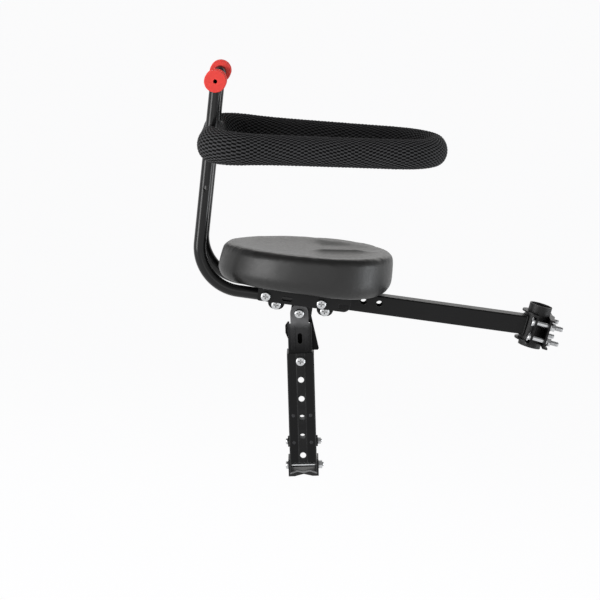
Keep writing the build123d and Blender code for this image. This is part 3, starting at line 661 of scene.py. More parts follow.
class CHILDSEAT_OT_guard_sleeve(bpy.types.Operator):
    """Turns a torus into the guard's ring, fills it, and works the air mesh and the seam into it"""

    bl_idname = "childseat.guard_sleeve"
    bl_label = "Guard Sleeve"

    CORNER_INSET = 0.3  # share of its radius by which a rounded corner's middle lies in from the sides
    SEAM_WIDTH = 0.022  # share of a turn round the sleeve that the seam draws in
    POST_GAP, CUT_LENGTH = 0.35 * MM, 0.09  # of the holes for the handle's posts

    def execute(self, context):
        soft, steel = context.scene.childseat_soft, context.scene.childseat_steel
        clear_selection()
        major, minor = 0.15, 0.02
        bpy.ops.mesh.primitive_torus_add(
            major_radius=major, minor_radius=minor, major_segments=2 * soft.mesh_cells[0],
            minor_segments=soft.mesh_cells[1], generate_uvs=True,
        )
        sleeve = named("guard_sleeve")
        co = places(sleeve)
        share = np.mod(np.arctan2(co[:, 1], co[:, 0]) / (2 * pi), 1.0)
        out = (np.hypot(co[:, 0], co[:, 1]) - major) / minor * soft.sleeve_half[0] * soft.sleeve_start
        up = co[:, 2] / minor * soft.sleeve_half[1] * soft.sleeve_start
        here, away = along_route(guard_route(soft), share)
        move_to(sleeve, np.column_stack((here + away * out[:, None], up)))
        swell(sleeve, soft.pressure, soft.sleeve_cap)
        self.fill_out(sleeve, soft, here)
        subdivide(sleeve, 2)
        self.work_mesh(sleeve, soft)
        sleeve.matrix_world = guard_frame(soft)
        settle(sleeve)
        self.cut_posts(sleeve, soft, steel)
        smooth(sleeve)
        finish_piece(sleeve, "seat", "mesh_fabric", "guard_pad")
        return {"FINISHED"}

    def fill_out(self, sleeve, soft, route_spots):
        """Brings the sleeve to its full height and bunches the foam up in its front corners."""
        co = places(sleeve)
        rings = co[:, 2].reshape(-1, soft.mesh_cells[1])
        top, bottom = rings.max(1)[:, None], -rings.min(1)[:, None]
        co[:, 2] *= soft.sleeve_half[1] / np.where(rings > 0, top, bottom).ravel()
        inset = soft.guard_radii[0] * self.CORNER_INSET
        aside = np.sign(co[:, 1]) * (soft.guard_half_widths[0] - inset)
        corner = np.column_stack((np.full(len(co), inset), aside))
        away = np.linalg.norm(route_spots - corner, axis=1)
        fuller = 1 + soft.corner_fullness * np.exp(-((away / soft.corner_reach) ** 2))
        co[:, :2] = route_spots + (co[:, :2] - route_spots) * fuller[:, None]
        co[:, 2] *= fuller
        move_to(sleeve, co)

    def work_mesh(self, sleeve, soft):
        """The cells of the air mesh, sunk into the cover, and the seam along its inner underside."""
        uv = np.empty(len(sleeve.data.loops) * 2, np.float32)
        sleeve.data.uv_layers[0].data.foreach_get("uv", uv)
        corner = np.empty(len(sleeve.data.loops), np.int32)
        sleeve.data.loops.foreach_get("vertex_index", corner)
        at = np.zeros((len(sleeve.data.vertices), 2))
        at[corner] = uv.reshape(-1, 2)
        along, around = soft.mesh_cells
        wander = soft.row_wander * np.sin(2 * pi * at[:, 0] * WANDERS)
        cell = np.cos(2 * pi * at[:, 0] * along) * np.cos(2 * pi * (at[:, 1] * around + wander))
        seam_row = SEAM_SHARE + 0.5 + 0.5 / around
        from_seam = (at[:, 1] - seam_row + 0.5) % 1.0 - 0.5
        seam = np.exp(-((from_seam / self.SEAM_WIDTH) ** 2))
        sink = cell * soft.mesh_relief * (1 - seam) + seam * soft.seam_depth
        move_to(sleeve, places(sleeve) - outward(sleeve) * sink[:, None])

    def cut_posts(self, sleeve, soft, steel):
        """Opens the sleeve where the handle's posts pass through it."""
        for side in (-1, 1):
            clear_selection()
            bpy.ops.mesh.primitive_cylinder_add(
                vertices=48, radius=steel.post_r + self.POST_GAP, depth=self.CUT_LENGTH,
                location=post_spot(steel, side, soft.guard_origin[2]), rotation=(0, -steel.post_lean, 0),
            )
            cut(sleeve, settle(named("post_cutter")))


class CHILDSEAT_OT_guard_bindings(bpy.types.Operator):
    """Sews a binding round each post where it enters and leaves the sleeve"""

    bl_idname = "childseat.guard_bindings"
    bl_label = "Guard Bindings"

    TAPE_R, TAPE_GAP = 1.5 * MM, 0.25 * MM  # half thickness of the tape, and its distance from the post
    TAPE_LIFT = 0.2 * MM  # how far its middle stands off the sleeve
    PASS_SHARE = 0.9  # share of the sleeve's half height at which the post passes through the tape
    SKIN_EDGE = 0.95  # share of the sleeve's half thickness past which the tape goes no lower
    PUCKERS, PUCKER_DEPTH = 16, 0.10

    def execute(self, context):
        soft, steel = context.scene.childseat_soft, context.scene.childseat_steel
        rings = [self.ring(soft, steel, side, face) for side in (-1, 1) for face in (-1, 1)]
        binding = join(rings, "guard_bindings")
        smooth(binding)
        finish_piece(binding, "seat", "mesh_fabric")
        return {"FINISHED"}

    def ring(self, soft, steel, side, face):
        """A puckered ring of tape round one post, laid on the sleeve's underside (-1) or top (1)."""
        half_t, half_h = soft.sleeve_half
        place = guard_frame(soft)
        clear_selection()
        bpy.ops.mesh.primitive_torus_add(
            major_radius=steel.post_r + self.TAPE_R + self.TAPE_GAP, minor_radius=self.TAPE_R,
            major_segments=64, minor_segments=12,
        )
        ring = bpy.context.active_object
        centre = place.inverted() @ post_spot(steel, side, soft.guard_origin[2] + face * half_h * self.PASS_SHARE)
        co = places(ring)
        turn = np.arctan2(co[:, 1], co[:, 0])
        across = np.clip((co[:, 0] + centre.x) / half_t, -self.SKIN_EDGE, self.SKIN_EDGE)
        skin = half_h * np.sqrt(1 - across**2)
        pucker = 1 + self.PUCKER_DEPTH * np.cos(turn * self.PUCKERS)
        co[:, 0] += centre.x
        co[:, 1] += centre.y
        co[:, 2] = face * (skin + self.TAPE_LIFT) + co[:, 2] * pucker
        move_to(ring, co)
        ring.matrix_world = place
        return settle(ring)


class CHILDSEAT_OT_guard_stitches(bpy.types.Operator):
    """Lays a row of stitches along the sleeve's seam"""

    bl_idname = "childseat.guard_stitches"
    bl_label = "Guard Stitches"

    STITCH_SIZE, STITCH_EDGE = (3.6 * MM, 0.8 * MM, 0.8 * MM), 0.25 * MM
    STITCH_SINK = 0.9 * MM  # how far a stitch lies under the sleeve's round
    POST_ROOM = (0.02, 0.012)  # along X and across it, kept free of stitches at each post

    def execute(self, context):
        soft, steel = context.scene.childseat_soft, context.scene.childseat_steel
        route = guard_route(soft)
        count = int(route[1][-1] / soft.stitch_pitch)
        here, away = along_route(route, (np.arange(count) + 0.5) / count)
        angle = 2 * pi * SEAM_SHARE
        half_t, half_h = soft.sleeve_half
        reach_out, reach_up = cos(angle) * (half_t - self.STITCH_SINK), sin(angle) * (half_h - self.STITCH_SINK)
        model, place = self.one_stitch(), guard_frame(soft)
        row = []
        for (x, y), (nx, ny) in zip(here, away):
            if abs(x) < self.POST_ROOM[0] and abs(abs(y) - steel.post_place[1]) < self.POST_ROOM[1]:
                continue
            stitch = add_copy(model, "stitch")
            spot = Matrix.Translation((x + nx * reach_out, y + ny * reach_out, reach_up))
            heading = Matrix(((-ny, nx, 0, 0), (nx, ny, 0, 0), (0, 0, 1, 0), (0, 0, 0, 1)))
            stitch.data.transform(place @ spot @ heading)
            row.append(stitch)
        bpy.data.objects.remove(model)
        stitches = join(row, "guard_stitches")
        merge_points(stitches, 0.001 * MM)
        smooth(stitches)
        finish_piece(stitches, "seat", "mesh_fabric")
        return {"FINISHED"}

    def one_stitch(self):
        """One stitch, along X."""
        clear_selection()
        bpy.ops.mesh.primitive_cube_add(size=1)
        model = named("stitch_model")
        bpy.ops.object.mode_set(mode="EDIT")
        bpy.ops.mesh.select_all(action="SELECT")
        bpy.ops.transform.resize(value=self.STITCH_SIZE)
        bpy.ops.mesh.bevel(offset=self.STITCH_EDGE, segments=1)
        bpy.ops.object.mode_set(mode="OBJECT")
        return model


def bead(points, radius, pitch, name, closed=False):
    """A weld bead along a line of points: a rippled tube made from a curve."""
    points = [Vector(p) for p in points]
    if closed:
        points.append(points[0])
    spans = [(b - a).length for a, b in zip(points, points[1:])]
    reached = np.concatenate(([0.0], np.cumsum(spans)))
    per_ripple = 4
    end_size, end_growth = 0.55, 0.16  # an open bead starts thin and grows from point to point
    trough, rise, uneven = 0.82, 0.30, 0.08  # shares of the bead's radius
    count = max(per_ripple, int(reached[-1] / pitch * per_ripple))
    at = np.linspace(0, reached[-1], count, endpoint=not closed)
    line = [[float(np.interp(s, reached, [p[k] for p in points])) for k in range(3)] for s in at]
    curve = bpy.data.curves.new(name, "CURVE")
    curve.dimensions = "3D"
    curve.bevel_depth = radius
    curve.bevel_resolution = 3
    curve.use_fill_caps = True
    spline = curve.splines.new("POLY")
    spline.points.add(count - 1)
    for i, (point, spot) in enumerate(zip(spline.points, line)):
        ripple = (i % per_ripple) / per_ripple
        end = 1.0 if closed else min(1.0, end_size + min(i, count - 1 - i) * end_growth)
        point.co = (*spot, 1)
        wobble = 1 + uneven * noise.noise(Vector(spot) * 400)
        point.radius = end * (trough + rise * sqrt(1 - ripple)) * wobble
    spline.use_cyclic_u = closed
    piece = bpy.data.objects.new(name, curve)
    bpy.context.scene.collection.objects.link(piece)
    pick(piece)
    bpy.ops.object.convert(target="MESH")
    return named(name)


class CHILDSEAT_OT_beam_welds(bpy.types.Operator):
    """Runs a weld bead round the beam where it meets the clamp, and beads along the leg's hanger"""

    bl_idname = "childseat.beam_welds"
    bl_label = "Beam Welds"

    SINK, ASIDE = 0.6 * MM, 0.4 * MM  # how far a bead's middle lies off the seam that it fills
    EDGE_IN = 0.3 * MM  # by which the bead round the beam lies inside its outline
    HANGER_SHARE = 0.8  # of the beam's width and of the bead's size, on the hanger

    def execute(self, context):
        steel = context.scene.childseat_steel
        r, pitch = steel.weld_r, steel.weld_pitch
        half = beam_high.y - self.EDGE_IN
        lean = steel.clamp_lean
        loop = []
        for y, z in self.square(half, 9):
            inside = -sqrt(steel.shell_r**2 - y * y)
            up = (z + inside * sin(lean)) / cos(lean)
            loop.append((inside * cos(lean) + up * sin(lean) - self.SINK, y, z))
        beads = [bead(loop, r, pitch, "clamp_bead", closed=True)]
        share = self.HANGER_SHARE
        for x in (hanger_low.x - self.ASIDE, hanger_high.x + self.ASIDE):
            run = [(x, y, beam_low.z - self.SINK) for y in (-half * share, 0, half * share)]
            beads.append(bead(run, r * share, pitch, "hanger_bead"))
        welds = join(beads, "beam_welds")
        smooth(welds)
        finish_piece(welds, "seat", "black_steel")
        return {"FINISHED"}

    @staticmethod
    def square(half, steps):
        """Points round a square of that half width."""
        side = np.linspace(-half, half, steps)[:-1]
        points = [(t, -half) for t in side] + [(half, t) for t in side]
        return points + [(-t, half) for t in side] + [(-half, -t) for t in side]


def threaded_end(name, shank_r, length, steel):
    """A thread standing along +X from the origin, on a shank of that radius."""
    clear_selection()
    bpy.ops.mesh.primitive_plane_add(size=1)
    thread = named(name)
    pitch, crest, root = steel.thread_pitch, steel.thread_height, -0.1 * MM
    profile = [(-0.42, root), (-0.10, crest), (0.10, crest), (0.42, root)]
    thread.data.clear_geometry()
    points = [(x * pitch, 0, shank_r + z) for x, z in profile]
    thread.data.from_pydata(points, [(0, 1), (1, 2), (2, 3), (3, 0)], [])
    turns = max(1, int(length / pitch))
    apply_modifier(
        thread, "SCREW", axis="X", screw_offset=pitch, iterations=turns, steps=20, render_steps=20, angle=2 * pi
    )
    merge_points(thread)
    return thread


class CHILDSEAT_OT_threads(bpy.types.Operator):
    """Cuts threads into the screw ends that stand out of their nuts"""

    bl_idname = "childseat.threads"
    bl_label = "Threads"

    SHANK_R = 3.0 * MM
    LONG, SHORT = 10.0 * MM, 2.2 * MM  # threads on the clamp's screws and on the others
    CLAMP_ENDS = [(22.6, y, z) for y in (-27.0, 27.0) for z in (-12.7, 7.9)]  # in the clamp's frame, in mm
    CLIP_ENDS = [(x, 20.7, -17.4) for x in (-346.0, -281.0)]
    HANDLE_ENDS = [(x, y, 0.0) for x in (-361.5, -288.0) for y in (-36.5, 36.5)]

    def execute(self, context):
        steel = context.scene.childseat_steel
        long_end = threaded_end("clamp_thread", self.SHANK_R, self.LONG, steel)
        short_end = threaded_end("short_thread", self.SHANK_R, self.SHORT, steel)
        right = Matrix.Rotation(radians(90), 4, "Z")
        clamp, still = clamp_frame(steel), Matrix.Identity(4)
        ends = [(long_end, clamp, at, still) for at in self.CLAMP_ENDS]
        ends += [(short_end, still, at, right) for at in self.CLIP_ENDS]
        ends += [(short_end, still, at, right if at[1] < 0 else right.inverted()) for at in self.HANDLE_ENDS]
        made = []
        for model, base, at, turn in ends:
            copy = add_copy(model, "thread_end")
            copy.data.transform(base @ Matrix.Translation(Vector(at) * MM) @ turn)
            made.append(copy)
        for model in (long_end, short_end):
            bpy.data.objects.remove(model)
        threads = join(made, "screw_threads")
        smooth(threads, radians(40))
        finish_piece(threads, "seat", "zinc_steel")
        return {"FINISHED"}


class CHILDSEAT_OT_spot_welds(bpy.types.Operator):
    """Presses the spot welds that hold the backing plate into the leg's lower channel"""

    bl_idname = "childseat.spot_welds"
    bl_label = "Spot Welds"

    PLACES = [(x, drop) for x in (-11.5, 11.5) for drop in (138.5, 175.5)]  # in the leg's frame, in mm
    DENT = ((0.35, 0.28), (0.45, 0.12), (0.4, -0.16), (0.4, -0.10))  # insets and rises from the edge inward, in mm
    FACE_DEPTH = 0.8 * MM  # from the channel's foremost place to the face that the dots stand on

    def execute(self, context):
        steel = context.scene.childseat_steel
        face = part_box("leg_lower")[0].y + self.FACE_DEPTH
        dots = []
        for x, drop in self.PLACES:
            clear_selection()
            bpy.ops.mesh.primitive_circle_add(vertices=24, radius=steel.spot_r, fill_type="NGON")
            dot = named("spot_weld")
            bpy.ops.object.mode_set(mode="EDIT")
            bpy.ops.mesh.select_all(action="SELECT")
            for inset, rise in self.DENT:
                bpy.ops.mesh.inset(thickness=inset * MM, depth=rise * MM)
            bpy.ops.object.mode_set(mode="OBJECT")
            spot = Matrix.Translation((x * MM, face, -drop * MM))
            dot.data.transform(leg_frame(steel) @ spot @ Matrix.Rotation(radians(90), 4, "X"))
            dots.append(dot)
        welds = join(dots, "leg_spot_welds")
        smooth(welds)
        finish_piece(welds, "leg", "black_steel")
        return {"FINISHED"}


# Materials


def plug(tree, socket, value):
    """Links a socket to another one, or gives it a value of its own."""
    if isinstance(value, bpy.types.NodeSocket):
        tree.links.new(value, socket)
    else:
        socket.default_value = value


def add_node(tree, kind, inputs=None, **settings):
    """A node with its settings, values and incoming links."""
    node = tree.nodes.new(kind)
    for key, value in settings.items():
        setattr(node, key, value)
    for socket, value in (inputs or {}).items():
        plug(tree, node.inputs[socket], value)
    return node


def calc(tree, operation, first, second=0.0, clamp=False):
    node = add_node(tree, "ShaderNodeMath", {0: first, 1: second}, operation=operation, use_clamp=clamp)
    return node.outputs[0]


def product(tree, first, *others):
    for value in others:
        first = calc(tree, "MULTIPLY", first, value)
    return first


def ranged(tree, value, low, high, new_low=0.0, new_high=1.0):
    """Takes a value's run from low to high over to a new run, and holds it at the ends."""
    node = add_node(tree, "ShaderNodeMapRange", {0: value, 1: low, 2: high, 3: new_low, 4: new_high})
    return node.outputs[0]


def tinted(tree, share, first, second):
    """Mixes two colours; a plain colour is given as three numbers."""
    node = add_node(tree, "ShaderNodeMix", {0: share}, data_type="RGBA")
    for index, colour in ((6, first), (7, second)):
        linked = isinstance(colour, bpy.types.NodeSocket)
        plug(tree, node.inputs[index], colour if linked else (*colour, 1.0))
    return node.outputs[2]


def times(colour, factor):
    """A colour made darker or lighter."""
    return [min(1.0, c * factor) for c in colour]


def noise_value(tree, where, scale, detail=3.0, rough=0.5):
    inputs = {"Vector": where, "Scale": scale, "Detail": detail, "Roughness": rough}
    return add_node(tree, "ShaderNodeTexNoise", inputs).outputs[0]


def effect(name, takes, gives):
    """A shader node group with named inputs and outputs."""
    tree = bpy.data.node_groups.new(name, "ShaderNodeTree")
    for label, kind, value in takes:
        socket = tree.interface.new_socket(label, in_out="INPUT", socket_type=kind)
        if value is not None:
            socket.default_value = value
    for label in gives:
        tree.interface.new_socket(label, in_out="OUTPUT", socket_type="NodeSocketFloat")
    ins = tree.nodes.new("NodeGroupInput").outputs
    outs = tree.nodes.new("NodeGroupOutput").inputs
    return tree, ins, outs


FLOAT, VECTOR = "NodeSocketFloat", "NodeSocketVector"


def make_edge_wear():
    """Where a coat is rubbed thin: on edges, broken up by noise."""
    takes = [("Vector", VECTOR, None), ("Width", FLOAT, 0.0008), ("Amount", FLOAT, 0.5), ("Breakup", FLOAT, 220.0)]
    tree, ins, outs = effect("Edge Wear", takes, ["Mask"])
    rounded = add_node(tree, "ShaderNodeBevel", {"Radius": ins["Width"]}, samples=4)
    flat = add_node(tree, "ShaderNodeNewGeometry")
    level = add_node(
        tree, "ShaderNodeVectorMath", {0: rounded.outputs[0], 1: flat.outputs["Normal"]}, operation="DOT_PRODUCT"
    )
    edge = ranged(tree, level.outputs["Value"], 0.985, 0.80)
    patchy = ranged(tree, noise_value(tree, ins["Vector"], ins["Breakup"], 4.0, 0.65), 0.42, 0.66)
    tree.links.new(product(tree, edge, patchy, ins["Amount"]), outs["Mask"])
    return tree


def make_orange_peel():
    """The fine waves of a baked coat and how its gloss wanders."""
    takes = [("Vector", VECTOR, None), ("Scale", FLOAT, 700.0), ("Gloss", FLOAT, 0.3), ("Wander", FLOAT, 0.06)]
    tree, ins, outs = effect("Orange Peel", takes, ["Height", "Roughness"])
    waves = noise_value(tree, ins["Vector"], ins["Scale"], 2.0, 0.4)
    tree.links.new(waves, outs["Height"])
    broad = calc(tree, "SUBTRACT", noise_value(tree, ins["Vector"], 28.0, 4.0, 0.6), 0.5)
    shift = product(tree, broad, ins["Wander"], 2.0)
    tree.links.new(calc(tree, "ADD", ins["Gloss"], shift, clamp=True), outs["Roughness"])
    return tree


def make_dust():
    """Specks and a thin film of dust, thicker on faces that look up."""
    takes = [("Vector", VECTOR, None), ("Amount", FLOAT, 0.5)]
    tree, ins, outs = effect("Dust", takes, ["Mask"])
    facing = add_node(tree, "ShaderNodeSeparateXYZ", {0: add_node(tree, "ShaderNodeNewGeometry").outputs["Normal"]})
    up = ranged(tree, facing.outputs["Z"], -0.2, 0.95, 0.25, 1.0)
    film = ranged(tree, noise_value(tree, ins["Vector"], 60.0, 5.0, 0.65), 0.40, 0.78, 0.0, 0.6)
    specks = ranged(tree, noise_value(tree, ins["Vector"], 1900.0, 1.0), 0.70, 0.78)
    both = calc(tree, "MAXIMUM", film, specks)
    tree.links.new(product(tree, both, up, ins["Amount"]), outs["Mask"])
    return tree


def make_mould_grain():
    """The fine grain that a sparked mould leaves on rubber and plastic."""
    takes = [("Vector", VECTOR, None), ("Scale", FLOAT, 1500.0)]
    tree, ins, outs = effect("Mould Grain", takes, ["Height", "Patch"])
    grain = noise_value(tree, ins["Vector"], ins["Scale"], 3.0, 0.6)
    tree.links.new(grain, outs["Height"])
    tree.links.new(noise_value(tree, ins["Vector"], 45.0, 4.0, 0.55), outs["Patch"])
    return tree


def make_air_mesh():
    """Open cells of a knitted air mesh, in a lattice on the sleeve's own map."""
    takes = [("Vector", VECTOR, None), ("Along", FLOAT, 98.0), ("Around", FLOAT, 27.0), ("Wander", FLOAT, 0.9)]
    tree, ins, outs = effect("Air Mesh", takes, ["Hole", "Height", "Yarn"])
    split = add_node(tree, "ShaderNodeSeparateXYZ", {0: ins["Vector"]})
    wander = calc(tree, "SINE", product(tree, split.outputs["X"], 2 * pi * WANDERS))
    along = product(tree, split.outputs["X"], ins["Along"])
    around = product(tree, split.outputs["Y"], ins["Around"])
    around = calc(tree, "ADD", around, product(tree, wander, ins["Wander"]))
    cell = product(tree, *[calc(tree, "COSINE", product(tree, count, 2 * pi)) for count in (along, around)])
    tree.links.new(ranged(tree, cell, -0.20, 0.20), outs["Hole"])
    scaled = add_node(tree, "ShaderNodeCombineXYZ", {0: along, 1: around})
    strands = noise_value(tree, scaled.outputs[0], 9.0, 3.0, 0.6)
    tree.links.new(strands, outs["Yarn"])
    fuzz = product(tree, calc(tree, "SUBTRACT", strands, 0.5), 0.35)
    tree.links.new(calc(tree, "SUBTRACT", fuzz, ranged(tree, cell, -0.4, 0.7)), outs["Height"])
    return tree


class Paint:
    """One material under construction: its tree, its shader and Object coordinates."""

    def __init__(self, name, colour):
        self.material = bpy.data.materials.new(name)
        self.material.use_nodes = True
        self.material.diffuse_color = (*colour, 1.0)
        self.tree = self.material.node_tree
        self.shader = self.tree.nodes["Principled BSDF"]
        self.where = add_node(self.tree, "ShaderNodeTexCoord").outputs["Object"]

    def effect(self, group, **inputs):
        """Outputs of a node group, on Object coordinates unless others are given."""
        return add_node(self.tree, "ShaderNodeGroup", {"Vector": self.where, **inputs}, node_tree=group).outputs

    def feed(self, **sockets):
        """Links or sets sockets of the shader; their names have _ for each space."""
        for key, value in sockets.items():
            plug(self.tree, self.shader.inputs[key.replace("_", " ")], value)

    def bump(self, height, distance, strength=1.0):
        inputs = {"Height": height, "Distance": distance, "Strength": strength}
        self.feed(Normal=add_node(self.tree, "ShaderNodeBump", inputs).outputs[0])


def coat_paint(name, colour, groups, gloss, specular, peel, pale_patch=None, patch_grey=0.17, lacquer=0.0):
    """Black powder coat: orange peel, rubbed edges, dust, and a pale patch where one is given: a painted highlight on
    the lug and the leg's rib, a pale edge on the saddle.
    """
    paint = Paint(name, colour)
    tree = paint.tree
    dust, thin = (0.12, 0.12, 0.12), (0.075, 0.075, 0.079)
    skin = paint.effect(groups["peel"], Scale=520.0, Gloss=gloss, Wander=0.05)
    worn = paint.effect(groups["wear"], Width=1.1 * MM, Amount=0.75)["Mask"]
    dusty = paint.effect(groups["dust"], Amount=0.35)["Mask"]
    base = tinted(tree, noise_value(tree, paint.where, 18.0), times(colour, 0.8), times(colour, 1.25))
    base = tinted(tree, product(tree, dusty, 0.10), base, dust)
    base = tinted(tree, worn, base, thin)
    # Painted highlight on the lug and the leg's rib, pale grey edge on the saddle: a pale patch laid over the coat.
    if pale_patch is not None:
        base = tinted(tree, pale_patch(paint), base, (patch_grey, patch_grey, patch_grey * 1.02))
    paint.feed(Base_Color=base, Specular_IOR_Level=specular)
    paint.feed(Roughness=calc(tree, "ADD", skin["Roughness"], product(tree, dusty, 0.2), clamp=True))
    if lacquer:
        paint.feed(Coat_Weight=lacquer, Coat_Roughness=0.12)
    paint.bump(skin["Height"], peel, 0.5)
    return paint.material


def on_leg(paint):
    """Coordinates in the leg's own frame: how far from its middle line, to its right, and up."""
    to_leg = leg_frame(bpy.context.scene.childseat_steel).inverted()
    settings = {"Vector": paint.where, "Location": to_leg.to_translation(), "Rotation": to_leg.to_euler()}
    mapped = add_node(paint.tree, "ShaderNodeMapping", settings).outputs[0]
    at = add_node(paint.tree, "ShaderNodeSeparateXYZ", {0: mapped}).outputs
    return calc(paint.tree, "ABSOLUTE", at["X"]), at["Y"], at["Z"]


def lug_highlight(paint):
    """A painted highlight on the leg's lug, where it turns against its hanger, down to just below its shoulder."""
    tree = paint.tree
    aside, right, up = on_leg(paint)
    most = ranged(tree, up, -20.0 * MM, -12.0 * MM, 0.0, 0.72)
    high = calc(tree, "ADD", most, ranged(tree, up, -50.0 * MM, -18.0 * MM, 0.0, 0.28))
    middle = ranged(tree, aside, 15.5 * MM, 11.9 * MM)
    near = ranged(tree, right, -15.0 * MM, -16.0 * MM)
    patchy = ranged(tree, noise_value(tree, paint.where, 90.0), 0.30, 0.70, 0.75, 1.0)
    return product(tree, high, middle, near, patchy)


def pale_saddle_edge(paint):
    """The cut front edge of the foot's folded saddle, painted pale grey."""
    tree = paint.tree
    aside, right, up = on_leg(paint)
    low = ranged(tree, up, -212.5 * MM, -214.0 * MM)
    front = ranged(tree, right, -15.3 * MM, -15.7 * MM)
    middle = ranged(tree, aside, 18.5 * MM, 17.5 * MM)
    return product(tree, low, front, middle)


def rib_highlights(paint):
    """Painted highlights on the channel: a little all over its pressed rib, most along the rib's two edges, and along
    the bends.
    """
    tree = paint.tree
    aside, right, _ = on_leg(paint)
    rib_half = 5.6 * MM
    from_edge = calc(tree, "ABSOLUTE", calc(tree, "SUBTRACT", aside, rib_half))
    edge = ranged(tree, from_edge, 1.0 * MM, 0.2 * MM, 0.0, 0.55)
    rib = ranged(tree, aside, rib_half, 5.0 * MM, 0.0, 0.14)
    bend = ranged(tree, aside, 15.8 * MM, 17.2 * MM, 0.0, 0.40)
    front = ranged(tree, right, -10.0 * MM, -12.0 * MM)
    patchy = ranged(tree, noise_value(tree, paint.where, 75.0, 4.0, 0.6), 0.30, 0.70, 0.35, 1.0)
    lines = calc(tree, "MAXIMUM", calc(tree, "MAXIMUM", edge, rib), bend)
    return product(tree, lines, front, patchy)


def shaded_zinc_paint(name, colour, groups):
    """Zinc on the plate inside the leg, painted much darker as shade inside the channel: grey, patchy and matte."""
    paint = Paint(name, colour)
    tree = paint.tree
    dust = (0.12, 0.115, 0.105)
    dusty = paint.effect(groups["dust"], Amount=0.8)["Mask"]
    patches = noise_value(tree, paint.where, 180.0, 4.0, 0.6)
    # Painted shade: the plate's colour is kept at a tenth to a fifth of the zinc's, for the shade inside the channel.
    base = tinted(tree, patches, times(colour, 0.10), times(colour, 0.22))
    base = tinted(tree, product(tree, dusty, 0.3), base, dust)
    paint.feed(Base_Color=base, Metallic=0.6, Roughness=ranged(tree, patches, 0.3, 0.7, 0.42, 0.58))
    paint.bump(noise_value(tree, paint.where, 900.0, 2.0, 0.6), 0.08 * MM, 0.4)
    return paint.material


def zinc_paint(name, colour, groups):
    """Bright zinc on screws and nuts: faint brushing, duller patches, and painted shade in the corners and recesses.
    """
    paint = Paint(name, colour)
    tree = paint.tree
    dust, recess_shade = (0.30, 0.29, 0.27), (0.10, 0.098, 0.094)
    dusty = paint.effect(groups["dust"], Amount=0.6)["Mask"]
    patches = noise_value(tree, paint.where, 260.0, 4.0, 0.6)
    base = tinted(tree, patches, times(colour, 0.72), colour)
    base = tinted(tree, product(tree, dusty, 0.25), base, dust)
    stretch = add_node(tree, "ShaderNodeMapping", {"Vector": paint.where, "Scale": (1.0, 1.0, 9.0)})
    brushed = noise_value(tree, stretch.outputs[0], 900.0, 2.0, 0.6)
    # Painted shade: the zinc turns dark grey where the surface is closed in, in recesses and corners.
    open_to = add_node(tree, "ShaderNodeAmbientOcclusion", {"Distance": 2.2 * MM}, samples=6).outputs["AO"]
    base = tinted(tree, ranged(tree, open_to, 0.35, 0.85, 1.0, 0.0), base, recess_shade)
    paint.feed(Base_Color=base, Metallic=1.0, Roughness=ranged(tree, patches, 0.3, 0.7, 0.14, 0.28))
    paint.bump(brushed, 0.06 * MM, 0.4)
    return paint.material


def moulded_paint(name, colour, groups, gloss, specular, grain, depth, pale_top):
    """Rubber or plastic from a mould: fine grain, patchy sheen, paler where dust settles."""
    paint = Paint(name, colour)
    tree = paint.tree
    skin = paint.effect(groups["grain"], Scale=grain)
    dusty = paint.effect(groups["dust"], Amount=0.5)["Mask"]
    base = tinted(tree, skin["Patch"], times(colour, 0.86), times(colour, 1.12))
    pale = [min(1.0, c * 0.6 + 0.10) for c in colour]
    base = tinted(tree, product(tree, dusty, pale_top), base, pale)
    paint.feed(Base_Color=base, Specular_IOR_Level=specular)
    paint.feed(Roughness=ranged(tree, skin["Patch"], 0.3, 0.7, gloss - 0.06, gloss + 0.08))
    paint.bump(skin["Height"], depth, 0.6)
    return paint.material


def leather_paint(name, colour, groups):
    """Satin seat leather: pebbled grain, fine creases, and a pale film on top that is dust and also a painted sheen.
    """
    paint = Paint(name, colour)
    tree = paint.tree
    pale_top = (0.11, 0.107, 0.10)
    pebbles = add_node(
        tree, "ShaderNodeTexVoronoi", {"Vector": paint.where, "Scale": 1050.0, "Smoothness": 0.35}, feature="SMOOTH_F1"
    ).outputs["Distance"]
    flow = noise_value(tree, paint.where, 240.0, 5.0, 0.62)
    stretch = add_node(tree, "ShaderNodeMapping", {"Vector": paint.where, "Scale": (0.35, 1.6, 1.0)})
    creases = noise_value(tree, stretch.outputs[0], 130.0, 4.0, 0.55)
    dusty = paint.effect(groups["dust"], Amount=0.4)["Mask"]
    base = tinted(tree, flow, times(colour, 0.75), times(colour, 1.3))
    # Painted sheen: up-facing faces are paled towards a warm grey, mixed with the dust.
    base = tinted(tree, product(tree, dusty, 0.12), base, pale_top)
    paint.feed(Base_Color=base, Specular_IOR_Level=0.50)
    paint.feed(Roughness=ranged(tree, flow, 0.3, 0.7, 0.37, 0.46))
    height = calc(tree, "ADD", product(tree, pebbles, 0.7), product(tree, creases, 0.5))
    paint.bump(height, 0.22 * MM, 0.35)
    return paint.material


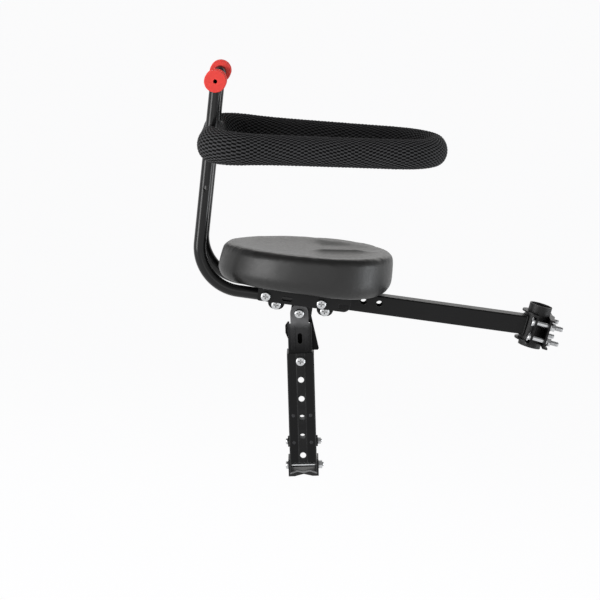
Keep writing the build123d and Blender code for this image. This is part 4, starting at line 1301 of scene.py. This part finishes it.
def sleeve_paint(name, colour, groups, soft):
    """Knitted air mesh: dark open cells between yarn, with painted shade darkening the yarn on the ring's inside."""
    paint = Paint(name, colour)
    tree = paint.tree
    black, hole = (0.0, 0.0, 0.0), (0.0010, 0.0010, 0.0011)
    chart = add_node(tree, "ShaderNodeUVMap").outputs["UV"]
    cells = soft.mesh_cells
    knit = paint.effect(groups["mesh"], Vector=chart, Along=cells[0], Around=cells[1], Wander=soft.row_wander)
    shade = noise_value(tree, paint.where, 70.0)
    strand = ranged(tree, knit["Yarn"], 0.3, 0.7)
    yarn = tinted(tree, strand, times(colour, 0.5), times(colour, 2.0))
    yarn = tinted(tree, product(tree, shade, 0.4), yarn, times(colour, 1.5))
    row = add_node(tree, "ShaderNodeSeparateXYZ", {0: chart}).outputs["Y"]
    turn = product(tree, calc(tree, "SUBTRACT", row, 0.5 + 0.5 / cells[1]), 2 * pi)
    # Painted shade: the yarn is darkened towards black on the ring's inside.
    unshaded_share = ranged(tree, calc(tree, "COSINE", turn), -0.85, 0.25, 0.45, 1.0)
    yarn = tinted(tree, unshaded_share, black, yarn)
    paint.feed(Base_Color=tinted(tree, knit["Hole"], yarn, hole))
    paint.feed(Roughness=ranged(tree, knit["Yarn"], 0.3, 0.7, 0.66, 0.82), Specular_IOR_Level=0.06)
    paint.feed(Sheen_Weight=0.03, Sheen_Roughness=0.4)
    paint.bump(knit["Height"], 0.9 * MM, 0.8)
    return paint.material


def webbing_paint(name, colour, groups):
    """Binding tape and sewing thread: a fine rib on Object coordinates."""
    paint = Paint(name, colour)
    tree = paint.tree
    rib = add_node(
        tree, "ShaderNodeTexWave", {"Vector": paint.where, "Scale": 420.0, "Distortion": 1.5, "Detail": 2.0},
        bands_direction="DIAGONAL",
    ).outputs["Fac"]
    fuzz = paint.effect(groups["grain"], Scale=2400.0)
    base = tinted(tree, rib, times(colour, 0.7), times(colour, 1.5))
    paint.feed(Base_Color=base, Specular_IOR_Level=0.3, Sheen_Weight=0.1)
    paint.feed(Roughness=ranged(tree, fuzz["Patch"], 0.3, 0.7, 0.62, 0.78))
    paint.bump(calc(tree, "ADD", rib, product(tree, fuzz["Height"], 0.5)), 0.2 * MM, 0.7)
    return paint.material


class CHILDSEAT_OT_finishes(bpy.types.Operator):
    """Gives every node and every piece its finish"""

    bl_idname = "childseat.finishes"
    bl_label = "Finishes"

    def execute(self, context):
        colours, soft = context.scene.childseat_colours, context.scene.childseat_soft
        groups = {
            "wear": make_edge_wear(), "peel": make_orange_peel(), "dust": make_dust(),
            "grain": make_mould_grain(), "mesh": make_air_mesh(),
        }
        coat, metal, yarn = colours.coat[:], colours.zinc[:], colours.yarn[:]
        gloss = coat_paint(
            "Gloss Black Tube", coat, groups, gloss=0.30, specular=0.10, peel=0.003 * MM, lacquer=0.45
        )
        satin = coat_paint("Satin Black Coat", coat, groups, gloss=0.42, specular=0.22, peel=0.10 * MM)
        # The lug's coat carries a painted highlight.
        lug = coat_paint(
            "Highlit Lug Coat", coat, groups, gloss=0.44, specular=0.12, peel=0.12 * MM, pale_patch=lug_highlight, patch_grey=0.17
        )
        # The leg's coat carries painted highlights along its rib and bends.
        leg = coat_paint(
            "Leg Coat", coat, groups, gloss=0.34, specular=0.17, peel=0.10 * MM, pale_patch=rib_highlights, patch_grey=0.075
        )
        saddle = coat_paint(
            "Pale Saddle Coat", coat, groups, gloss=0.42, specular=0.30, peel=0.12 * MM, pale_patch=pale_saddle_edge,
            patch_grey=0.22,
        )
        spot = coat_paint("Worn Spot Coat", times(coat, 9.0), groups, gloss=0.42, specular=0.20, peel=0.16 * MM)
        zinc = zinc_paint("Bright Zinc", metal, groups)
        shaded_zinc = shaded_zinc_paint("Shaded Zinc", metal, groups)
        red = moulded_paint(
            "Red Grip Rubber", colours.grip[:], groups, gloss=0.45, specular=0.35, grain=1300.0, depth=0.10 * MM,
            pale_top=0.10,
        )
        rubber = moulded_paint(
            "Black Rubber", colours.rubber[:], groups, gloss=0.50, specular=0.30, grain=1300.0, depth=0.12 * MM,
            pale_top=0.25,
        )
        plastic = moulded_paint(
            "Black Plastic", colours.plastic[:], groups, gloss=0.45, specular=0.35, grain=1700.0, depth=0.12 * MM,
            pale_top=0.15,
        )
        leather = leather_paint("Cushion Leather", colours.leather[:], groups)
        knit = sleeve_paint("Air Mesh", yarn, groups, soft)
        tape = webbing_paint("Binding Tape", times(yarn, 0.5), groups)
        by_node = {
            "handle_tube_left": gloss, "handle_tube_right": gloss, "leg_upper": lug, "foot_bracket": saddle,
            "leg_backing_plate": shaded_zinc, "leg_lower": leg,
        }
        by_slot = {
            "black_steel": satin, "zinc_steel": zinc, "red_rubber": red, "black_rubber": rubber,
            "mesh_fabric": tape, "seat_leather": leather, "black_plastic": plastic,
        }
        slot_of = {part["node"]: part["material_slot"] for part in frame["record"]["subparts"]}
        for name, node in nodes.items():
            self.dress(node, by_node.get(name) or by_slot[slot_of[name]])
        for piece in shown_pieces():
            if "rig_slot" in piece:
                self.dress(piece, by_slot[piece["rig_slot"]])
        self.dress(bpy.data.objects["guard_sleeve"], knit)
        self.dress(bpy.data.objects["leg_spot_welds"], spot)
        return {"FINISHED"}

    @staticmethod
    def dress(piece, material):
        """Gives a piece one material all over."""
        piece.data.materials.clear()
        piece.data.materials.append(material)
        piece.data.polygons.foreach_set("material_index", np.zeros(len(piece.data.polygons), np.int32))


class CHILDSEAT_OT_stage(bpy.types.Operator):
    """Lays the floor, hangs the lamps and sets up the camera"""

    bl_idname = "childseat.stage"
    bl_label = "Stage"

    def execute(self, context):
        stage = context.scene.childseat_stage
        context.scene.view_settings.view_transform = "Standard"
        self.floor(stage)
        self.world(context.scene, stage)
        aim = Vector(stage.camera_aim)
        lamps = (
            ("back_bank", (-0.25, 1.90, 1.10), 2.2, 1.0, 9.0, (1.0, 0.985, 0.96)),
            ("left_strip", (-2.00, -1.22, 0.10), 0.90, 1.3, 25.0, (1.0, 1.0, 1.0)),
            ("right_strip", (1.60, -0.25, 0.00), 0.50, 1.2, 11.0, (0.93, 0.97, 1.0)),
            ("front_bank", (-0.40, -2.80, 0.30), 2.4, 1.0, 4.0, (1.0, 1.0, 1.0)),
        )
        for name, spot, width, height, power, tint in lamps:
            self.lamp(name, Vector(spot), aim, width, height, power, tint)
        self.camera(context.scene, stage, aim)
        return {"FINISHED"}

    @staticmethod
    def lamp(name, spot, aim, width, height, power, tint):
        """A soft panel of light that looks at the seat and isn't seen itself."""
        clear_selection()
        bpy.ops.object.light_add(type="AREA", location=spot)
        lamp = named(name)
        lamp.data.shape = "RECTANGLE"
        lamp.data.size, lamp.data.size_y = width, height
        lamp.data.energy = power
        lamp.data.color = tint
        lamp.rotation_euler = (aim - spot).to_track_quat("-Z", "Y").to_euler()
        lamp.visible_camera = False

    @staticmethod
    def seen_by(tree):
        """1 for camera, mirror and see-through rays."""
        rays = add_node(tree, "ShaderNodeLightPath").outputs
        mirror = calc(tree, "MAXIMUM", rays["Is Glossy Ray"], rays["Is Transmission Ray"])
        return calc(tree, "MAXIMUM", rays["Is Camera Ray"], mirror)

    def floor(self, stage):
        """A pale floor that throws little light back and looks almost white."""
        clear_selection()
        bpy.ops.mesh.primitive_plane_add(size=stage.floor_size, location=(0, 0, -stage.floor_drop))
        floor = settle(named("floor"))
        material = bpy.data.materials.new("Pale Floor")
        material.use_nodes = True
        tree = material.node_tree
        tree.nodes.clear()
        plain = add_node(tree, "ShaderNodeBsdfDiffuse", {"Color": (0.62, 0.62, 0.62, 1)})
        lit = add_node(tree, "ShaderNodeBsdfDiffuse", {"Color": (0.12, 0.12, 0.12, 1)})
        glow = add_node(tree, "ShaderNodeEmission", {"Color": (0.92, 0.92, 0.925, 1), "Strength": 1.0})
        seen = add_node(tree, "ShaderNodeAddShader", {0: lit.outputs[0], 1: glow.outputs[0]})
        mixed = add_node(
            tree, "ShaderNodeMixShader", {0: self.seen_by(tree), 1: plain.outputs[0], 2: seen.outputs[0]}
        )
        add_node(tree, "ShaderNodeOutputMaterial", {"Surface": mixed.outputs[0]})
        floor.data.materials.append(material)
        floor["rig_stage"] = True

    def world(self, scene, stage):
        """White light from all round, weaker overhead."""
        world = bpy.data.worlds.new("Studio")
        scene.world = world
        world.use_nodes = True
        tree = world.node_tree
        tree.nodes.clear()
        heading = add_node(tree, "ShaderNodeTexCoord").outputs["Generated"]
        up = add_node(tree, "ShaderNodeSeparateXYZ", {0: heading}).outputs["Z"]
        level = ranged(tree, up, 0.05, 0.75, *stage.sky_levels)
        dimmed = calc(tree, "MULTIPLY", level, stage.world_fill)
        fill = add_node(tree, "ShaderNodeBackground", {"Color": (1, 1, 1, 1), "Strength": dimmed})
        seen = add_node(tree, "ShaderNodeBackground", {"Color": (1, 1, 1, 1), "Strength": level})
        mixed = add_node(
            tree, "ShaderNodeMixShader", {0: self.seen_by(tree), 1: fill.outputs[0], 2: seen.outputs[0]}
        )
        add_node(tree, "ShaderNodeOutputWorld", {"Surface": mixed.outputs[0]})

    @staticmethod
    def camera(scene, stage, aim):
        """A long lens from the left and a little above."""
        pitch, yaw, roll = stage.camera_pitch, stage.camera_yaw, stage.camera_roll
        ahead = Vector((sin(yaw) * cos(pitch), cos(yaw) * cos(pitch), -sin(pitch)))
        level = Vector((cos(yaw), -sin(yaw), 0))
        down = ahead.cross(level)
        right = level * cos(roll) + down * sin(roll)
        down = down * cos(roll) - level * sin(roll)
        spot = aim - ahead * stage.camera_reach
        clear_selection()
        bpy.ops.object.camera_add()
        camera = named("camera")
        camera.data.lens = stage.camera_lens
        camera.data.sensor_width = 36.0
        camera.data.clip_end = 200.0
        camera.matrix_world = Matrix(
            [(right[k], -down[k], -ahead[k], spot[k]) for k in range(3)] + [(0, 0, 0, 1)]
        )
        scene.camera = camera


class CHILDSEAT_PT_panel(bpy.types.Panel):
    """Lists the steps that dress the child seat"""

    bl_idname = "CHILDSEAT_PT_panel"
    bl_label = "Child Seat"
    bl_space_type = "VIEW_3D"
    bl_region_type = "UI"
    bl_category = "Child Seat"

    def draw(self, context):
        for step in STEPS:
            self.layout.operator(step.bl_idname)


STEPS = (
    CHILDSEAT_OT_cushion, CHILDSEAT_OT_guard_sleeve, CHILDSEAT_OT_guard_bindings, CHILDSEAT_OT_guard_stitches,
    CHILDSEAT_OT_beam_welds, CHILDSEAT_OT_threads, CHILDSEAT_OT_spot_welds, CHILDSEAT_OT_finishes, CHILDSEAT_OT_stage,
)
SETTINGS = {
    "childseat_soft": SoftSizes, "childseat_steel": SteelSizes,
    "childseat_colours": FinishColours, "childseat_stage": StageSettings,
}


def register():
    for settings in SETTINGS.values():
        bpy.utils.register_class(settings)
    for step in STEPS:
        bpy.utils.register_class(step)
    bpy.utils.register_class(CHILDSEAT_PT_panel)
    for name, settings in SETTINGS.items():
        setattr(bpy.types.Scene, name, PointerProperty(type=settings))


def unregister():
    for name in SETTINGS:
        delattr(bpy.types.Scene, name)
    bpy.utils.unregister_class(CHILDSEAT_PT_panel)
    for step in reversed(STEPS):
        bpy.utils.unregister_class(step)
    for settings in SETTINGS.values():
        bpy.utils.unregister_class(settings)


def main():
    register()
    bpy.ops.childseat.cushion()
    bpy.ops.childseat.guard_sleeve()
    bpy.ops.childseat.guard_bindings()
    bpy.ops.childseat.guard_stitches()
    bpy.ops.childseat.beam_welds()
    bpy.ops.childseat.threads()
    bpy.ops.childseat.spot_welds()
    bpy.ops.childseat.finishes()
    bpy.ops.childseat.stage()


if __name__ == "__main__":
    main()
